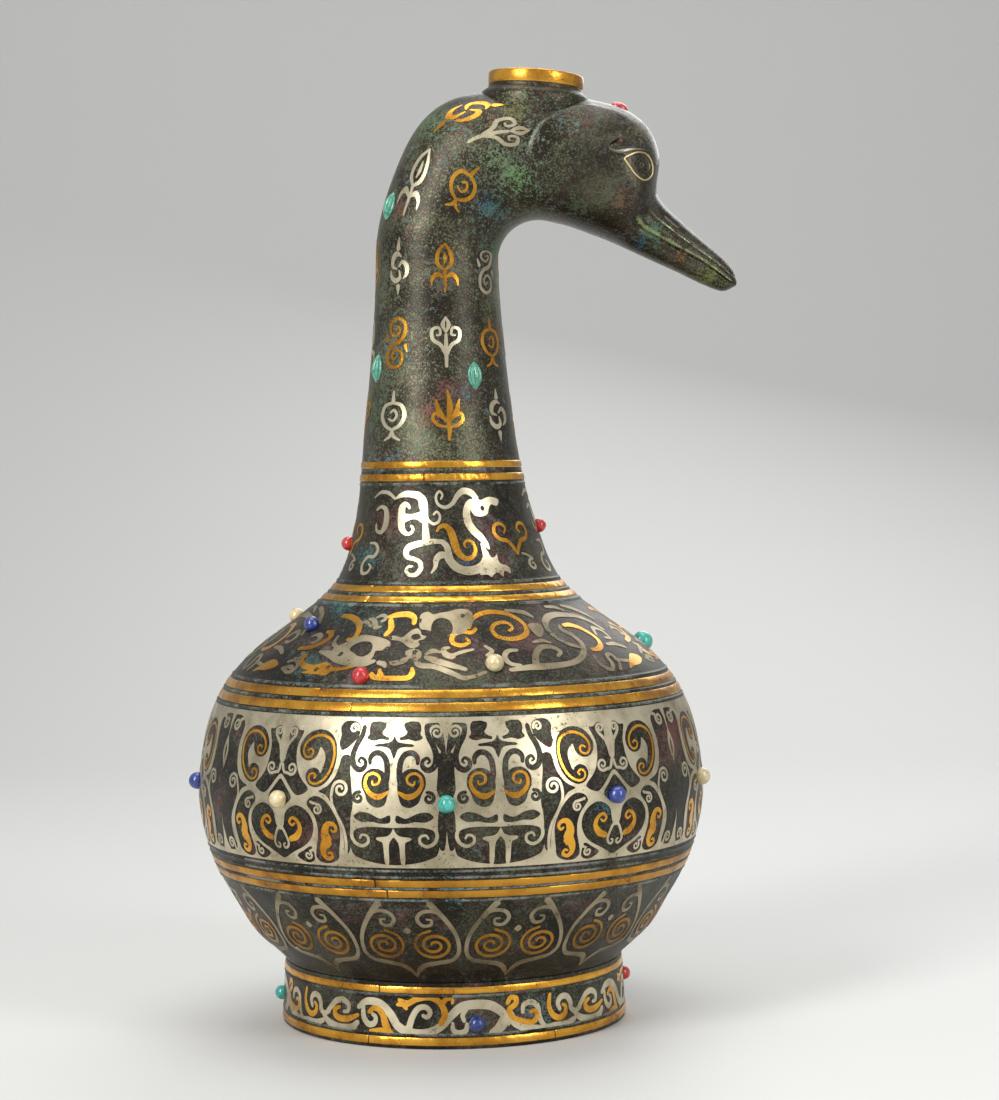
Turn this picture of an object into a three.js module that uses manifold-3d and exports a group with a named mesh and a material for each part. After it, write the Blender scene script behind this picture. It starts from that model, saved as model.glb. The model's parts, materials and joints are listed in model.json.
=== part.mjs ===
// A goose-headed bronze bottle vase, modelled piece by piece.
// A cast belly stands on a soldered foot ring. A bent neck plugs into the belly and carries the goose head,
// and a short mouth collar sits in a hole at the top of the bend. Gold strips, a silver band and polished
// stones lie in grooves and pockets cut into the bronze.
// Millimetres, +Z up. The vase's own axis stands a little behind the middle of its box, so that the origin is
// under the middle of the whole object. Azimuths are in degrees from the front (-Y) towards the bill (+X).

import * as THREE from "three";
import { mergeVertices } from "three/addons/utils/BufferGeometryUtils.js";
import Module from "manifold-3d";

const wasm = await Module();
wasm.setup();

// Foot ring
const FOOT_TOP_RADIUS = 60;
const FOOT_SPREAD = 1.3;
const FOOT_HEIGHT = 22.2;
const FOOT_WALL = 5.3;
const FOOT_SEAT_WIDTH = 8;
const FOOT_SEAT_THICKNESS = 5;
const REGISTER_WALL = 4;
const REGISTER_DEPTH = 4;

// Belly and lower neck, one casting
const BELLY_RADIUS = 89.8;
const BELLY_Z = 81.4;
const BODY_WALL = 3;
const JOINT_RADIUS = 28.6;
const JOINT_Z = 194.75;

// The neck moves back a little between these heights
const NECK_SHIFT = 2.6;
const SHIFT_FROM_Z = 150;
const SHIFT_TO_Z = 215;

// Bent neck
const NECK_WALL = 3;
const NECK_TOP_RADIUS = 21.7;
const NECK_END_RADIUS = 22.6;
const NECK_TAPER = 1.45;
const BEND_Z = 268.9;
const THROAT_RADIUS = 14.5;
const BEND_SWELL = 3.1;
const BEND_SWELL_AT = 57;
const BEND_SWELL_SPREAD = 21;
const BEND_END = 108;
const PLUG_WALL = 2.5;
const PLUG_LENGTH = 12;

// Goose head with its closed bill
const HEAD_REACH = 70.4;
const HEAD_WIDTH = 43;
const HEAD_WALL = 3;

// Mouth collar
const COLLAR_HEIGHT = 5.9;
const COLLAR_TILT = 4.6;
const COLLAR_BORE = 12.7;
const COLLAR_WALL = 2.6;
const COLLAR_FLARE = 2.6;
const COLLAR_PLUG_LENGTH = 12;

// Strips: the heights of their bottom and top edges, from the floor, the belly's widest place or the joint
const FOOT_STRIPS = {
  gold_foot_lower: [1.2, 4],
  gold_foot_upper: [FOOT_HEIGHT - 3.6, FOOT_HEIGHT - 1.2],
};
const BELLY_STRIPS = {
  gold_belly_lower: [BELLY_Z - 26.6, BELLY_Z - 24],
  gold_belly_upper: [BELLY_Z - 23, BELLY_Z - 20.4],
  gold_shoulder_lower: [BELLY_Z + 34.5, BELLY_Z + 37.4],
  gold_shoulder_upper: [BELLY_Z + 38.8, BELLY_Z + 41.5],
  gold_neck_base_lower: [JOINT_Z - 44.75, JOINT_Z - 42.75],
  gold_neck_base_upper: [JOINT_Z - 41.55, JOINT_Z - 39.35],
  gold_neck_ring_lower: [JOINT_Z - 3.55, JOINT_Z - 0.95],
};
const NECK_STRIP = [JOINT_Z + 0.95, JOINT_Z + 3.45];
const SILVER_BAND = [BELLY_Z - 16.4, BELLY_Z + 32.9];
const STRIP_THICKNESS = 0.9;
const RIM_STRIP_HEIGHT = 4.3;
const RIM_STRIP_THICKNESS = 1.2;
const RIM_CHAMFER = 0.5;

// Stones: a ball stands proud of the surface by more than half
const BEAD_RISE = 0.8;
const OVAL_WIDTH = 5.2;
const OVAL_LENGTH = 9;
const OVAL_DEPTH = 4;
const BELLY_BEAD = 6;
const BELLY_BEAD_UP = 5.1;
const EYE_WIDTH = 11.8;
const EYE_HEIGHT = 9.4;
const EYE_WIRE = 1.1;
const EYE_ANGLE = 68;
const EYE_TURN = 34;
const PUPIL_WIDTH = 3.4;
const PUPIL_SINK = 0.68;
const WIRE_DEPTH = 1;
const CROWN_LENGTH = 6.4;
const CROWN_WIDTH = 4.6;
const CROWN_DEPTH = 3.8;
const CROWN_SINK = 0.1;
const NECK_OVAL_UP = 36.2;
const NECK_OVAL_FAR_UP = 33;
const NECK_OVAL_BEND = 20;
const NECK_OVAL_ANGLE = 30;
const NECK_OVAL_FAR_ANGLE = 122;

// Places on the head, counted in its sections from the neck joint towards the tip of the bill
const HEAD_PLUG_FROM = 0.04;
const HEAD_PLUG_TO = 0.8;
const CROWN_AT = 0.81;
const EYE_AT = 2.44;
const HEAD_HOLLOW_END = 3.4;

// Fits between pieces that touch
const CLEARANCE = 0.3;
const PROUD = 0.12;

// How finely round forms are faceted
const BODY_SIDES = 32;
const NECK_SIDES = 24;
const COLLAR_SIDES = 20;
const OUTLINE_STEPS = 21;
const OUTLINE_SAMPLES = 600;
const ROW_MARGIN = 1.6;
const NECK_ROWS = 5;
const NECK_ROW_GAP = 10;
const BEND_ROWS = 7;
const BEND_ROW_GAP = 14;

// The box runs from the belly's left side to the bill's tip, and the vase's axis is placed to centre it
const PIVOT_X = NECK_TOP_RADIUS + THROAT_RADIUS - NECK_SHIFT;
const BILL_REACH = PIVOT_X + HEAD_REACH;
const AXIS_X = (BELLY_RADIUS + BELLY_BEAD / 2 + BEAD_RISE - BILL_REACH) / 2;

// Finishes
const BRONZE = { color: 0x2e2f27, roughness: 0.5, metalness: 0.85 };
const GREEN_BRONZE = { color: 0x3a4436, roughness: 0.6, metalness: 0.7 };
const GOLD = { color: 0xb07a1e, roughness: 0.3, metalness: 1 };
const SILVER = { color: 0xa9a18a, roughness: 0.35, metalness: 1 };
const TURQUOISE = { color: 0x2f9c86, roughness: 0.35, metalness: 0 };
const CORAL = { color: 0xa51d1a, roughness: 0.3, metalness: 0 };
const LAPIS = { color: 0x1d2f70, roughness: 0.3, metalness: 0 };
const CREAM = { color: 0xcfc18a, roughness: 0.35, metalness: 0 };

const radians = THREE.MathUtils.degToRad;

// A closed mesh with merged corners, no collapsed faces, and its faces pointing out
function closedMesh(geometry) {
  const bare = geometry.clone();
  bare.deleteAttribute("normal");
  bare.deleteAttribute("uv");
  const merged = mergeVertices(bare, 1e-4);
  const position = merged.attributes.position;
  const corners = [];
  let volume = 0;
  const [a, b, c] = [new THREE.Vector3(), new THREE.Vector3(), new THREE.Vector3()];
  for (let i = 0; i < merged.index.count; i += 3) {
    const face = [merged.index.getX(i), merged.index.getX(i + 1), merged.index.getX(i + 2)];
    if (new Set(face).size < 3) continue;
    a.fromBufferAttribute(position, face[0]);
    b.fromBufferAttribute(position, face[1]);
    c.fromBufferAttribute(position, face[2]);
    volume += a.dot(b.cross(c));
    corners.push(face);
  }
  if (volume < 0) corners.forEach((face) => face.reverse());
  merged.setIndex(corners.flat());
  return merged;
}

function toSolid(geometry) {
  const mesh = closedMesh(geometry);
  return new wasm.Manifold(new wasm.Mesh({
    numProp: 3,
    vertProperties: Float32Array.from(mesh.attributes.position.array),
    triVerts: Uint32Array.from(mesh.index.array),
  }));
}

function toGeometry(solid) {
  const mesh = solid.getMesh();
  const geometry = new THREE.BufferGeometry();
  geometry.setAttribute("position", new THREE.BufferAttribute(Float32Array.from(mesh.vertProperties), 3));
  geometry.setIndex(Array.from(mesh.triVerts));
  return geometry;
}

function cut(geometry, tools) {
  return toGeometry(tools.reduce((left, tool) => left.subtract(toSolid(tool)), toSolid(geometry)));
}

// The vase's outline, seen from the side, from the belly's seat on the foot up to the neck joint.
// Each part runs between two named radii and heights, and its points are shares of those.
const BELLY_SEAT_Z = FOOT_HEIGHT + CLEARANCE;
const LOWER_SHAPE = [
  [0, 0], [0.05, 0.035], [0.2, 0.105], [0.37, 0.19], [0.55, 0.338], [0.785, 0.55], [0.936, 0.773],
];
const UPPER_SHAPE = [
  [0, 0], [0.033, 0.892], [0.08, 0.797], [0.125, 0.72], [0.2, 0.647], [0.352, 0.572], [0.495, 0.515],
  [0.64, 0.458], [0.78, 0.385], [0.872, 0.311], [0.933, 0.236], [0.98, 0.125],
];

function makeOutline() {
  const lower = LOWER_SHAPE.map(([out, up]) => new THREE.Vector3(
    FOOT_TOP_RADIUS + out * (BELLY_RADIUS - FOOT_TOP_RADIUS), BELLY_SEAT_Z + up * (BELLY_Z - BELLY_SEAT_Z), 0));
  const widest = new THREE.Vector3(BELLY_RADIUS, BELLY_Z, 0);
  const top = new THREE.Vector3(JOINT_RADIUS, JOINT_Z, 0);
  const upper = UPPER_SHAPE.slice(1).reverse().map(([out, up]) => new THREE.Vector3(
    JOINT_RADIUS + out * (BELLY_RADIUS - JOINT_RADIUS), BELLY_Z + up * (JOINT_Z - BELLY_Z), 0));
  return new THREE.CatmullRomCurve3([...lower, widest, ...upper, top]);
}

const outline = makeOutline();
const outlineTable = outline.getPoints(OUTLINE_SAMPLES).map((point) => ({ r: point.x, z: point.y }));

// The outline's point at a height, and the direction that points out of the wall there
function outlineAt(z) {
  const last = outlineTable.length - 2;
  const above = outlineTable.findIndex((point) => point.z > z);
  const i = Math.min(Math.max((above < 0 ? last + 1 : above) - 1, 0), last);
  const [low, high] = [outlineTable[i], outlineTable[i + 1]];
  const share = (z - low.z) / (high.z - low.z);
  const length = Math.hypot(high.z - low.z, high.r - low.r);
  return {
    r: low.r + share * (high.r - low.r),
    z,
    out: { r: (high.z - low.z) / length, z: (low.r - high.r) / length },
  };
}

function footAt(z) {
  const length = Math.hypot(FOOT_HEIGHT, FOOT_SPREAD);
  return {
    r: FOOT_TOP_RADIUS + FOOT_SPREAD * (1 - z / FOOT_HEIGHT),
    z,
    out: { r: FOOT_HEIGHT / length, z: FOOT_SPREAD / length },
  };
}

const offset = (point, by) => new THREE.Vector2(point.r + by * point.out.r, point.z + by * point.out.z);

// How far the axis has moved back at a height
function lean(z) {
  return -NECK_SHIFT * THREE.MathUtils.smoothstep(z, SHIFT_FROM_Z, SHIFT_TO_Z);
}

// Turns a closed side view into a round solid about the vase's axis, leaning with the neck
function turned(profile, sides = BODY_SIDES) {
  const geometry = new THREE.LatheGeometry([...profile, profile[0]], sides);
  geometry.rotateX(Math.PI / 2);
  const position = geometry.attributes.position;
  for (let i = 0; i < position.count; i += 1) {
    position.setX(i, position.getX(i) + lean(position.getZ(i)));
  }
  return closedMesh(geometry);
}

// Heights of the outline's rows, closer together where it curves
const rowHeights = outline.getSpacedPoints(OUTLINE_STEPS).map((point) => point.y);
const GROOVE_DEPTH = STRIP_THICKNESS + CLEARANCE - PROUD;

// A surface between two heights with a groove sunk at each strip
function groovedWall(surfaceAt, heights, strips, from, to) {
  const grooves = strips.map(([low, high]) => [low - CLEARANCE, high + CLEARANCE]).sort((a, b) => a[0] - b[0]);
  const points = [];
  const run = (low, high, depth) => {
    const between = heights.filter((z) => z > low + ROW_MARGIN && z < high - ROW_MARGIN);
    [low, ...between, high].forEach((z) => points.push(offset(surfaceAt(z), -depth)));
  };
  let reached = from;
  for (const [low, high] of grooves) {
    run(reached, low, 0);
    run(low, high, GROOVE_DEPTH);
    reached = high;
  }
  run(reached, to, 0);
  return points;
}

// A strip that lies in its groove, standing a little proud
function strip(surfaceAt, heights, [low, high]) {
  const between = heights.filter((z) => z > low + ROW_MARGIN && z < high - ROW_MARGIN);
  const rows = [low, ...between, high];
  const outer = rows.map((z) => offset(surfaceAt(z), PROUD));
  const inner = rows.map((z) => offset(surfaceAt(z), PROUD - STRIP_THICKNESS)).reverse();
  return turned([...outer, ...inner]);
}

// Foot ring: a standing wall and an inward seat that the belly's floor rests on
function footRing() {
  const seatRadius = FOOT_TOP_RADIUS - FOOT_SEAT_WIDTH;
  const wallRadius = FOOT_TOP_RADIUS + FOOT_SPREAD - FOOT_WALL;
  const outer = groovedWall(footAt, [], Object.values(FOOT_STRIPS), 0, FOOT_HEIGHT);
  return turned([
    ...outer,
    new THREE.Vector2(seatRadius, FOOT_HEIGHT),
    new THREE.Vector2(seatRadius, FOOT_HEIGHT - FOOT_SEAT_THICKNESS),
    new THREE.Vector2(wallRadius, FOOT_HEIGHT - FOOT_SEAT_THICKNESS),
    new THREE.Vector2(wallRadius, 0),
  ]);
}

// Belly shell: floor with a register lip inside the foot's seat, belly, shoulder and lower neck
const BODY_TOP_Z = JOINT_Z - CLEARANCE / 2;
function bellyShell() {
  const lipOuter = FOOT_TOP_RADIUS - FOOT_SEAT_WIDTH - CLEARANCE;
  const lipInner = lipOuter - REGISTER_WALL;
  const floorTop = BELLY_SEAT_Z + BODY_WALL;
  const strips = [...Object.values(BELLY_STRIPS), SILVER_BAND];
  const outer = groovedWall(outlineAt, rowHeights, strips, BELLY_SEAT_Z, BODY_TOP_Z);
  const inner = rowHeights
    .filter((z, i) => i % 2 === 1 && z > floorTop + BODY_WALL && z < BODY_TOP_Z - ROW_MARGIN)
    .map((z) => offset(outlineAt(z), -BODY_WALL));
  const mouth = new THREE.Vector2(outlineAt(BODY_TOP_Z).r - BODY_WALL, BODY_TOP_Z);
  const floorEdge = new THREE.Vector2(outlineAt(floorTop).r - BODY_WALL, floorTop);
  return turned([
    new THREE.Vector2(0, BELLY_SEAT_Z),
    new THREE.Vector2(lipInner, BELLY_SEAT_Z),
    new THREE.Vector2(lipInner, BELLY_SEAT_Z - REGISTER_DEPTH),
    new THREE.Vector2(lipOuter, BELLY_SEAT_Z - REGISTER_DEPTH),
    new THREE.Vector2(lipOuter, BELLY_SEAT_Z),
    ...outer,
    mouth,
    ...inner.reverse(),
    floorEdge,
    new THREE.Vector2(0, floorTop),
  ]);
}

// A station is one cross-section of the neck or head: an oval between a top point (the back of the neck, the
// crown) and a bottom point (the throat), with a half width across.
function station(top, bottom, halfWidth) {
  const up = top.clone().sub(bottom);
  const halfHeight = up.length() / 2;
  return { centre: top.clone().add(bottom).multiplyScalar(0.5), up: up.normalize(), halfHeight, halfWidth };
}

function straightStation(z) {
  const share = Math.min(Math.max((z - JOINT_Z) / (BEND_Z - JOINT_Z), 0), 1);
  const radius = NECK_TOP_RADIUS + (JOINT_RADIUS - NECK_TOP_RADIUS) * (1 - share) ** NECK_TAPER;
  return station(new THREE.Vector3(lean(z) - radius, 0, z), new THREE.Vector3(lean(z) + radius, 0, z), radius);
}

function bendStation(angle) {
  const swell = BEND_SWELL * Math.exp(-(((angle - BEND_SWELL_AT) / BEND_SWELL_SPREAD) ** 2));
  const radius = THREE.MathUtils.lerp(NECK_TOP_RADIUS, NECK_END_RADIUS, angle / BEND_END);
  const pivot = new THREE.Vector3(PIVOT_X, 0, BEND_Z);
  const up = new THREE.Vector3(-Math.cos(radians(angle)), 0, Math.sin(radians(angle)));
  const bottom = pivot.clone().addScaledVector(up, THROAT_RADIUS);
  const top = pivot.clone().addScaledVector(up, THROAT_RADIUS + 2 * radius + 2 * swell);
  return station(top, bottom, radius);
}

// The head's sections after the bend: top and bottom points from the bend's pivot as shares of the head's
// reach, and the width as a share of the head's width. The bill begins at the fourth.
const HEAD_SHAPE = [
  { top: [0.449, 0.751], bottom: [0.152, 0.173], width: 1.0 },
  { top: [0.564, 0.655], bottom: [0.273, 0.128], width: 0.94 },
  { top: [0.614, 0.518], bottom: [0.374, 0.087], width: 0.79 },
  { top: [0.605, 0.315], bottom: [0.45, 0.051], width: 0.5 },
  { top: [0.72, 0.183], bottom: [0.565, -0.004], width: 0.38 },
  { top: [0.835, 0.081], bottom: [0.696, -0.065], width: 0.32 },
  { top: [0.93, -0.004], bottom: [0.832, -0.132], width: 0.26 },
  { top: [0.984, -0.072], bottom: [0.932, -0.165], width: 0.19 },
  { top: [1.0, -0.12], bottom: [0.994, -0.14], width: 0.05 },
];

const fromPivot = ([x, z]) => new THREE.Vector3(PIVOT_X + x * HEAD_REACH, 0, BEND_Z + z * HEAD_REACH);
const headKeys = [
  bendStation(BEND_END - 12),
  bendStation(BEND_END),
  ...HEAD_SHAPE.map((key) => station(fromPivot(key.top), fromPivot(key.bottom), (key.width * HEAD_WIDTH) / 2)),
];
const keyTop = (key) => key.centre.clone().addScaledVector(key.up, key.halfHeight);
const keyBottom = (key) => key.centre.clone().addScaledVector(key.up, -key.halfHeight);
const topLine = new THREE.CatmullRomCurve3(headKeys.map(keyTop));
const bottomLine = new THREE.CatmullRomCurve3(headKeys.map(keyBottom));
const widthLine = new THREE.CatmullRomCurve3(headKeys.map((key, i) => new THREE.Vector3(i, key.halfWidth, 0)));

// Section number 0 is at the neck joint, and the last is the bill's tip
function headStation(number) {
  const share = (number + 1) / (headKeys.length - 1);
  return station(topLine.getPoint(share), bottomLine.getPoint(share), widthLine.getPoint(share).y);
}

// A point of a section's oval, at an angle from its top towards the front of the vase
function ovalPoint(place, angle, inset) {
  return place.centre.clone()
    .addScaledVector(place.up, Math.cos(angle) * (place.halfHeight - inset))
    .add(new THREE.Vector3(0, -Math.sin(angle) * (place.halfWidth - inset), 0));
}

// Skins a solid over rows of sections. Each row is a section with an inset from its outer oval; a row with no
// inset closes on its centre. Rows run from one pole to the other, or come back to the first.
function skinned(rows, sides) {
  const isRing = (row) => row.inset !== undefined;
  const closed = isRing(rows[0]) ? [...rows, rows[0]] : rows;
  const unit = closed.map((row, i) => new THREE.Vector2(isRing(row) ? 1 : 0, i));
  const geometry = new THREE.LatheGeometry(unit, sides);
  const position = geometry.attributes.position;
  for (let i = 0; i < position.count; i += 1) {
    const row = closed[i % closed.length];
    const angle = (2 * Math.PI * Math.floor(i / closed.length)) / sides;
    const point = isRing(row) ? ovalPoint(row.section, angle % (2 * Math.PI), row.inset) : row.section.centre;
    position.setXYZ(i, point.x, point.y, point.z);
  }
  return closedMesh(geometry);
}

function range(from, to, count) {
  return Array.from({ length: count }, (_, i) => from + ((to - from) * i) / (count - 1));
}
const ringsAt = (sections, inset) => sections.map((section) => ({ section, inset }));
const straightRun = (from, to, count) => range(from, to, count).map(straightStation);
const bendRun = (from, to, count) => range(from, to, count).map(bendStation);

// The neck, with a plug that goes down into the belly's neck and one that goes a short way into the head
const PLUG_INSET = HEAD_WALL + CLEARANCE;

function neckTube() {
  const bottomZ = JOINT_Z + CLEARANCE / 2;
  const plugZ = JOINT_Z - PLUG_LENGTH;
  const plugRadius = outlineAt(BODY_TOP_Z).r - BODY_WALL - CLEARANCE;
  const plugAt = (z, radius) => ({
    section: { ...straightStation(z), halfHeight: radius, halfWidth: radius },
    inset: 0,
  });
  const [stripLow, stripHigh] = [NECK_STRIP[0] - CLEARANCE, NECK_STRIP[1] + CLEARANCE];
  const outer = [
    ...ringsAt([straightStation(bottomZ), straightStation(stripLow)], 0),
    ...ringsAt([straightStation(stripLow), straightStation(stripHigh)], GROOVE_DEPTH),
    ...ringsAt([straightStation(stripHigh), ...straightRun(stripHigh + NECK_ROW_GAP, BEND_Z, NECK_ROWS)], 0),
    ...ringsAt(bendRun(BEND_ROW_GAP, BEND_END, BEND_ROWS), 0),
  ];
  const headPlug = [
    { section: bendStation(BEND_END), inset: PLUG_INSET },
    { section: headStation(HEAD_PLUG_FROM), inset: PLUG_INSET },
    { section: headStation(HEAD_PLUG_TO), inset: PLUG_INSET },
    { section: headStation(HEAD_PLUG_TO), inset: PLUG_INSET + PLUG_WALL },
    { section: bendStation(BEND_END), inset: PLUG_INSET + PLUG_WALL },
  ];
  const inner = [
    ...ringsAt(bendRun(BEND_END - BEND_ROW_GAP, BEND_ROW_GAP, BEND_ROWS - 1), NECK_WALL),
    ...ringsAt(straightRun(BEND_Z, bottomZ + PLUG_LENGTH, NECK_ROWS - 1), NECK_WALL),
  ];
  const bodyPlug = [
    plugAt(bottomZ, plugRadius - PLUG_WALL),
    plugAt(plugZ, plugRadius - PLUG_WALL),
    plugAt(plugZ, plugRadius),
    plugAt(bottomZ, plugRadius),
  ];
  return skinned([...outer, ...headPlug, ...inner, ...bodyPlug], NECK_SIDES);
}

// The whole bend and head as one closed form, drawn in by an inset, for trimming pieces against it
function bendForm(inset) {
  const sections = [
    straightStation(JOINT_Z + NECK_OVAL_UP),
    ...bendRun(0, BEND_END, 10),
    headStation(1),
    headStation(2),
  ];
  const first = { section: sections[0] };
  const last = { section: sections[sections.length - 1] };
  return skinned([first, ...ringsAt(sections, inset), last], NECK_SIDES);
}

const HEAD_LAST = headKeys.length - 2;
const HEAD_ROWS = [HEAD_PLUG_FROM, 0.5, ...range(1, 3, 5), 3.5, 4, 5, 6, 7, HEAD_LAST];

// The head's outer form, closed at the neck joint, drawn in or out by an inset
function headForm(inset) {
  const rings = HEAD_ROWS.map(headStation).map((section) => ({
    section,
    inset: Math.min(inset, section.halfWidth / 2, section.halfHeight / 2),
  }));
  const [first, last] = [rings[0], rings[rings.length - 1]];
  return skinned([{ section: first.section }, ...rings, { section: last.section }], NECK_SIDES);
}

function gooseHead() {
  const outer = ringsAt(HEAD_ROWS.map(headStation), 0);
  const hollow = ringsAt([HEAD_HOLLOW_END, 3, 2, HEAD_PLUG_TO, HEAD_PLUG_FROM].map(headStation), HEAD_WALL);
  const [deepest, tip] = [{ section: hollow[0].section }, { section: headStation(HEAD_LAST) }];
  return skinned([deepest, ...hollow, ...outer, tip], NECK_SIDES);
}

// Mouth collar, upright about its own axis, then tilted onto the bend
const bendTopZ = keyTop(bendStation(90)).z;
const bendSideZ = bendTopZ - NECK_TOP_RADIUS;
const COLLAR_TOP_Z = bendTopZ + COLLAR_HEIGHT;
function placeCollar(geometry) {
  geometry.rotateX(Math.PI / 2);
  geometry.rotateY(radians(COLLAR_TILT));
  geometry.translate(PIVOT_X, 0, COLLAR_TOP_Z);
  return geometry;
}

const COLLAR_RADIUS = COLLAR_BORE + COLLAR_WALL;
const RIM_RADIUS = COLLAR_RADIUS + CLEARANCE + RIM_STRIP_THICKNESS;
const FLARED_RADIUS = RIM_RADIUS + COLLAR_FLARE;

function collarLathe(points) {
  const profile = points.map(([r, z]) => new THREE.Vector2(r, z));
  return closedMesh(placeCollar(new THREE.LatheGeometry([...profile, profile[0]], COLLAR_SIDES)));
}

function mouthCollar() {
  const top = -(RIM_STRIP_THICKNESS + CLEARANCE);
  const shoulder = -(RIM_STRIP_HEIGHT + CLEARANCE);
  const seat = bendTopZ - COLLAR_TOP_Z;
  const deep = bendSideZ - COLLAR_TOP_Z;
  const skirt = collarLathe([
    [COLLAR_BORE, deep],
    [FLARED_RADIUS, deep],
    [FLARED_RADIUS, seat - COLLAR_FLARE],
    [RIM_RADIUS + COLLAR_FLARE / 2.5, seat],
    [RIM_RADIUS, (seat + shoulder) / 2],
    [RIM_RADIUS - PROUD, shoulder],
    [COLLAR_RADIUS, shoulder],
    [COLLAR_RADIUS, top],
    [COLLAR_BORE, top],
  ]);
  const plug = collarLathe([
    [COLLAR_BORE, seat - COLLAR_PLUG_LENGTH],
    [COLLAR_RADIUS, seat - COLLAR_PLUG_LENGTH],
    [COLLAR_RADIUS, top],
    [COLLAR_BORE, top],
  ]);
  const saddle = toSolid(skirt).subtract(toSolid(bendForm(-CLEARANCE)));
  const pipe = toSolid(plug).subtract(toSolid(bendForm(NECK_WALL)));
  return toGeometry(saddle.add(pipe));
}

function rimStrip() {
  const lip = -RIM_STRIP_THICKNESS;
  return collarLathe([
    [COLLAR_BORE, lip],
    [COLLAR_RADIUS + CLEARANCE, lip],
    [COLLAR_RADIUS + CLEARANCE, -RIM_STRIP_HEIGHT],
    [RIM_RADIUS, -RIM_STRIP_HEIGHT],
    [RIM_RADIUS, -RIM_CHAMFER],
    [RIM_RADIUS - RIM_CHAMFER, 0],
    [COLLAR_BORE, 0],
  ]);
}

function collarHole() {
  const reach = COLLAR_TOP_Z - bendSideZ;
  const radius = COLLAR_RADIUS + CLEARANCE;
  return collarLathe([[0, -reach], [radius, -reach], [radius, 0], [0, 0]]);
}

// Ball stones: a name, a finish, an azimuth, and where they differ a diameter and a height
const bellyBeadZ = BELLY_Z + BELLY_BEAD_UP;
const bellyBeads = [
  ["bead_belly_front", TURQUOISE, 0],
  ["bead_belly_front_left", CREAM, -38.5],
  ["bead_belly_front_right", LAPIS, 38.5],
  ["bead_belly_left", LAPIS, -81],
  ["bead_belly_right", CREAM, 77],
  ["bead_belly_back_left", TURQUOISE, -120],
  ["bead_belly_back_right", TURQUOISE, 118],
  ["bead_belly_back_cream", CREAM, -158.5],
  ["bead_belly_back_lapis", LAPIS, 158.5],
].map(([name, finish, azimuth]) => ({
  name, finish, azimuth, size: BELLY_BEAD, z: bellyBeadZ, host: "belly_shell", surfaceAt: outlineAt,
}));
const upperBeads = [
  ["bead_shoulder_coral", CORAL, -22, 6, 126.6],
  ["bead_shoulder_cream", CREAM, 13, 6.2, 130.2],
  ["bead_shoulder_lapis", LAPIS, -55.5, 5.6, 141.6],
  ["bead_shoulder_left_cream", CREAM, -98, 5.6, 142.5],
  ["bead_shoulder_turquoise", TURQUOISE, 99, 7.4, 131.5],
  ["bead_shoulder_back_coral", CORAL, 141, 6, 134],
  ["bead_shoulder_back_turquoise", TURQUOISE, -142, 6, 130],
  ["bead_neck_left", CORAL, -84, 5, 169],
  ["bead_neck_right", CORAL, 87, 5, 174.5],
].map(([name, finish, azimuth, size, z]) => ({
  name, finish, azimuth, size, z, host: "belly_shell", surfaceAt: outlineAt,
}));
const footBeads = [
  ["bead_foot_left", TURQUOISE, -86.5, 5, 9],
  ["bead_foot_front", LAPIS, 8, 5.6, 8.5],
  ["bead_foot_right", CORAL, 97, 5.2, 12.3],
  ["bead_foot_back", TURQUOISE, -172, 5.4, 9],
].map(([name, finish, azimuth, size, z]) => ({
  name, finish, azimuth, size, z, host: "foot_ring", surfaceAt: footAt,
}));
const beads = [...bellyBeads, ...upperBeads, ...footBeads];

function ball(bead, clearance) {
  const geometry = new THREE.IcosahedronGeometry(bead.size / 2 + clearance, 1);
  const surface = bead.surfaceAt(bead.z);
  const middle = offset(surface, BEAD_RISE);
  const azimuth = radians(bead.azimuth);
  geometry.rotateZ(azimuth);
  geometry.translate(lean(bead.z) + middle.x * Math.sin(azimuth), -middle.x * Math.cos(azimuth), middle.y);
  return closedMesh(geometry);
}

// Moves a form made about the origin onto the skin at a section: its +Z points out of the skin, its +Y runs
// along the neck or head, and it sinks below the skin by a depth
function onSkin(geometry, sectionAt, number, angle, sink, turn = 0) {
  const step = sectionAt === headStation ? 0.02 : 1;
  const here = ovalPoint(sectionAt(number), radians(angle), 0);
  const ahead = ovalPoint(sectionAt(number + step), radians(angle), 0);
  const beside = ovalPoint(sectionAt(number), radians(angle + 1), 0);
  const along = ahead.sub(here).normalize();
  const across = beside.sub(here).normalize();
  const out = across.clone().cross(along).normalize();
  const side = along.clone().cross(out).normalize();
  geometry.rotateZ(radians(turn));
  geometry.applyMatrix4(new THREE.Matrix4().makeBasis(side, along, out));
  geometry.translate(...here.addScaledVector(out, -sink).toArray());
  return geometry;
}

// Oval stones on the neck: a name, the line of sections it lies on, its section and its angle
const lowOvalZ = JOINT_Z + NECK_OVAL_UP;
const lowFarOvalZ = JOINT_Z + NECK_OVAL_FAR_UP;
const ovals = [
  ["cabochon_upper_front", bendStation, NECK_OVAL_BEND, NECK_OVAL_ANGLE],
  ["cabochon_upper_back", bendStation, NECK_OVAL_BEND, -NECK_OVAL_ANGLE],
  ["cabochon_lower_front_left", straightStation, lowOvalZ, NECK_OVAL_ANGLE],
  ["cabochon_lower_front_right", straightStation, lowFarOvalZ, NECK_OVAL_FAR_ANGLE],
  ["cabochon_lower_back_left", straightStation, lowOvalZ, -NECK_OVAL_ANGLE],
  ["cabochon_lower_back_right", straightStation, lowFarOvalZ, -NECK_OVAL_FAR_ANGLE],
];

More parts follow.
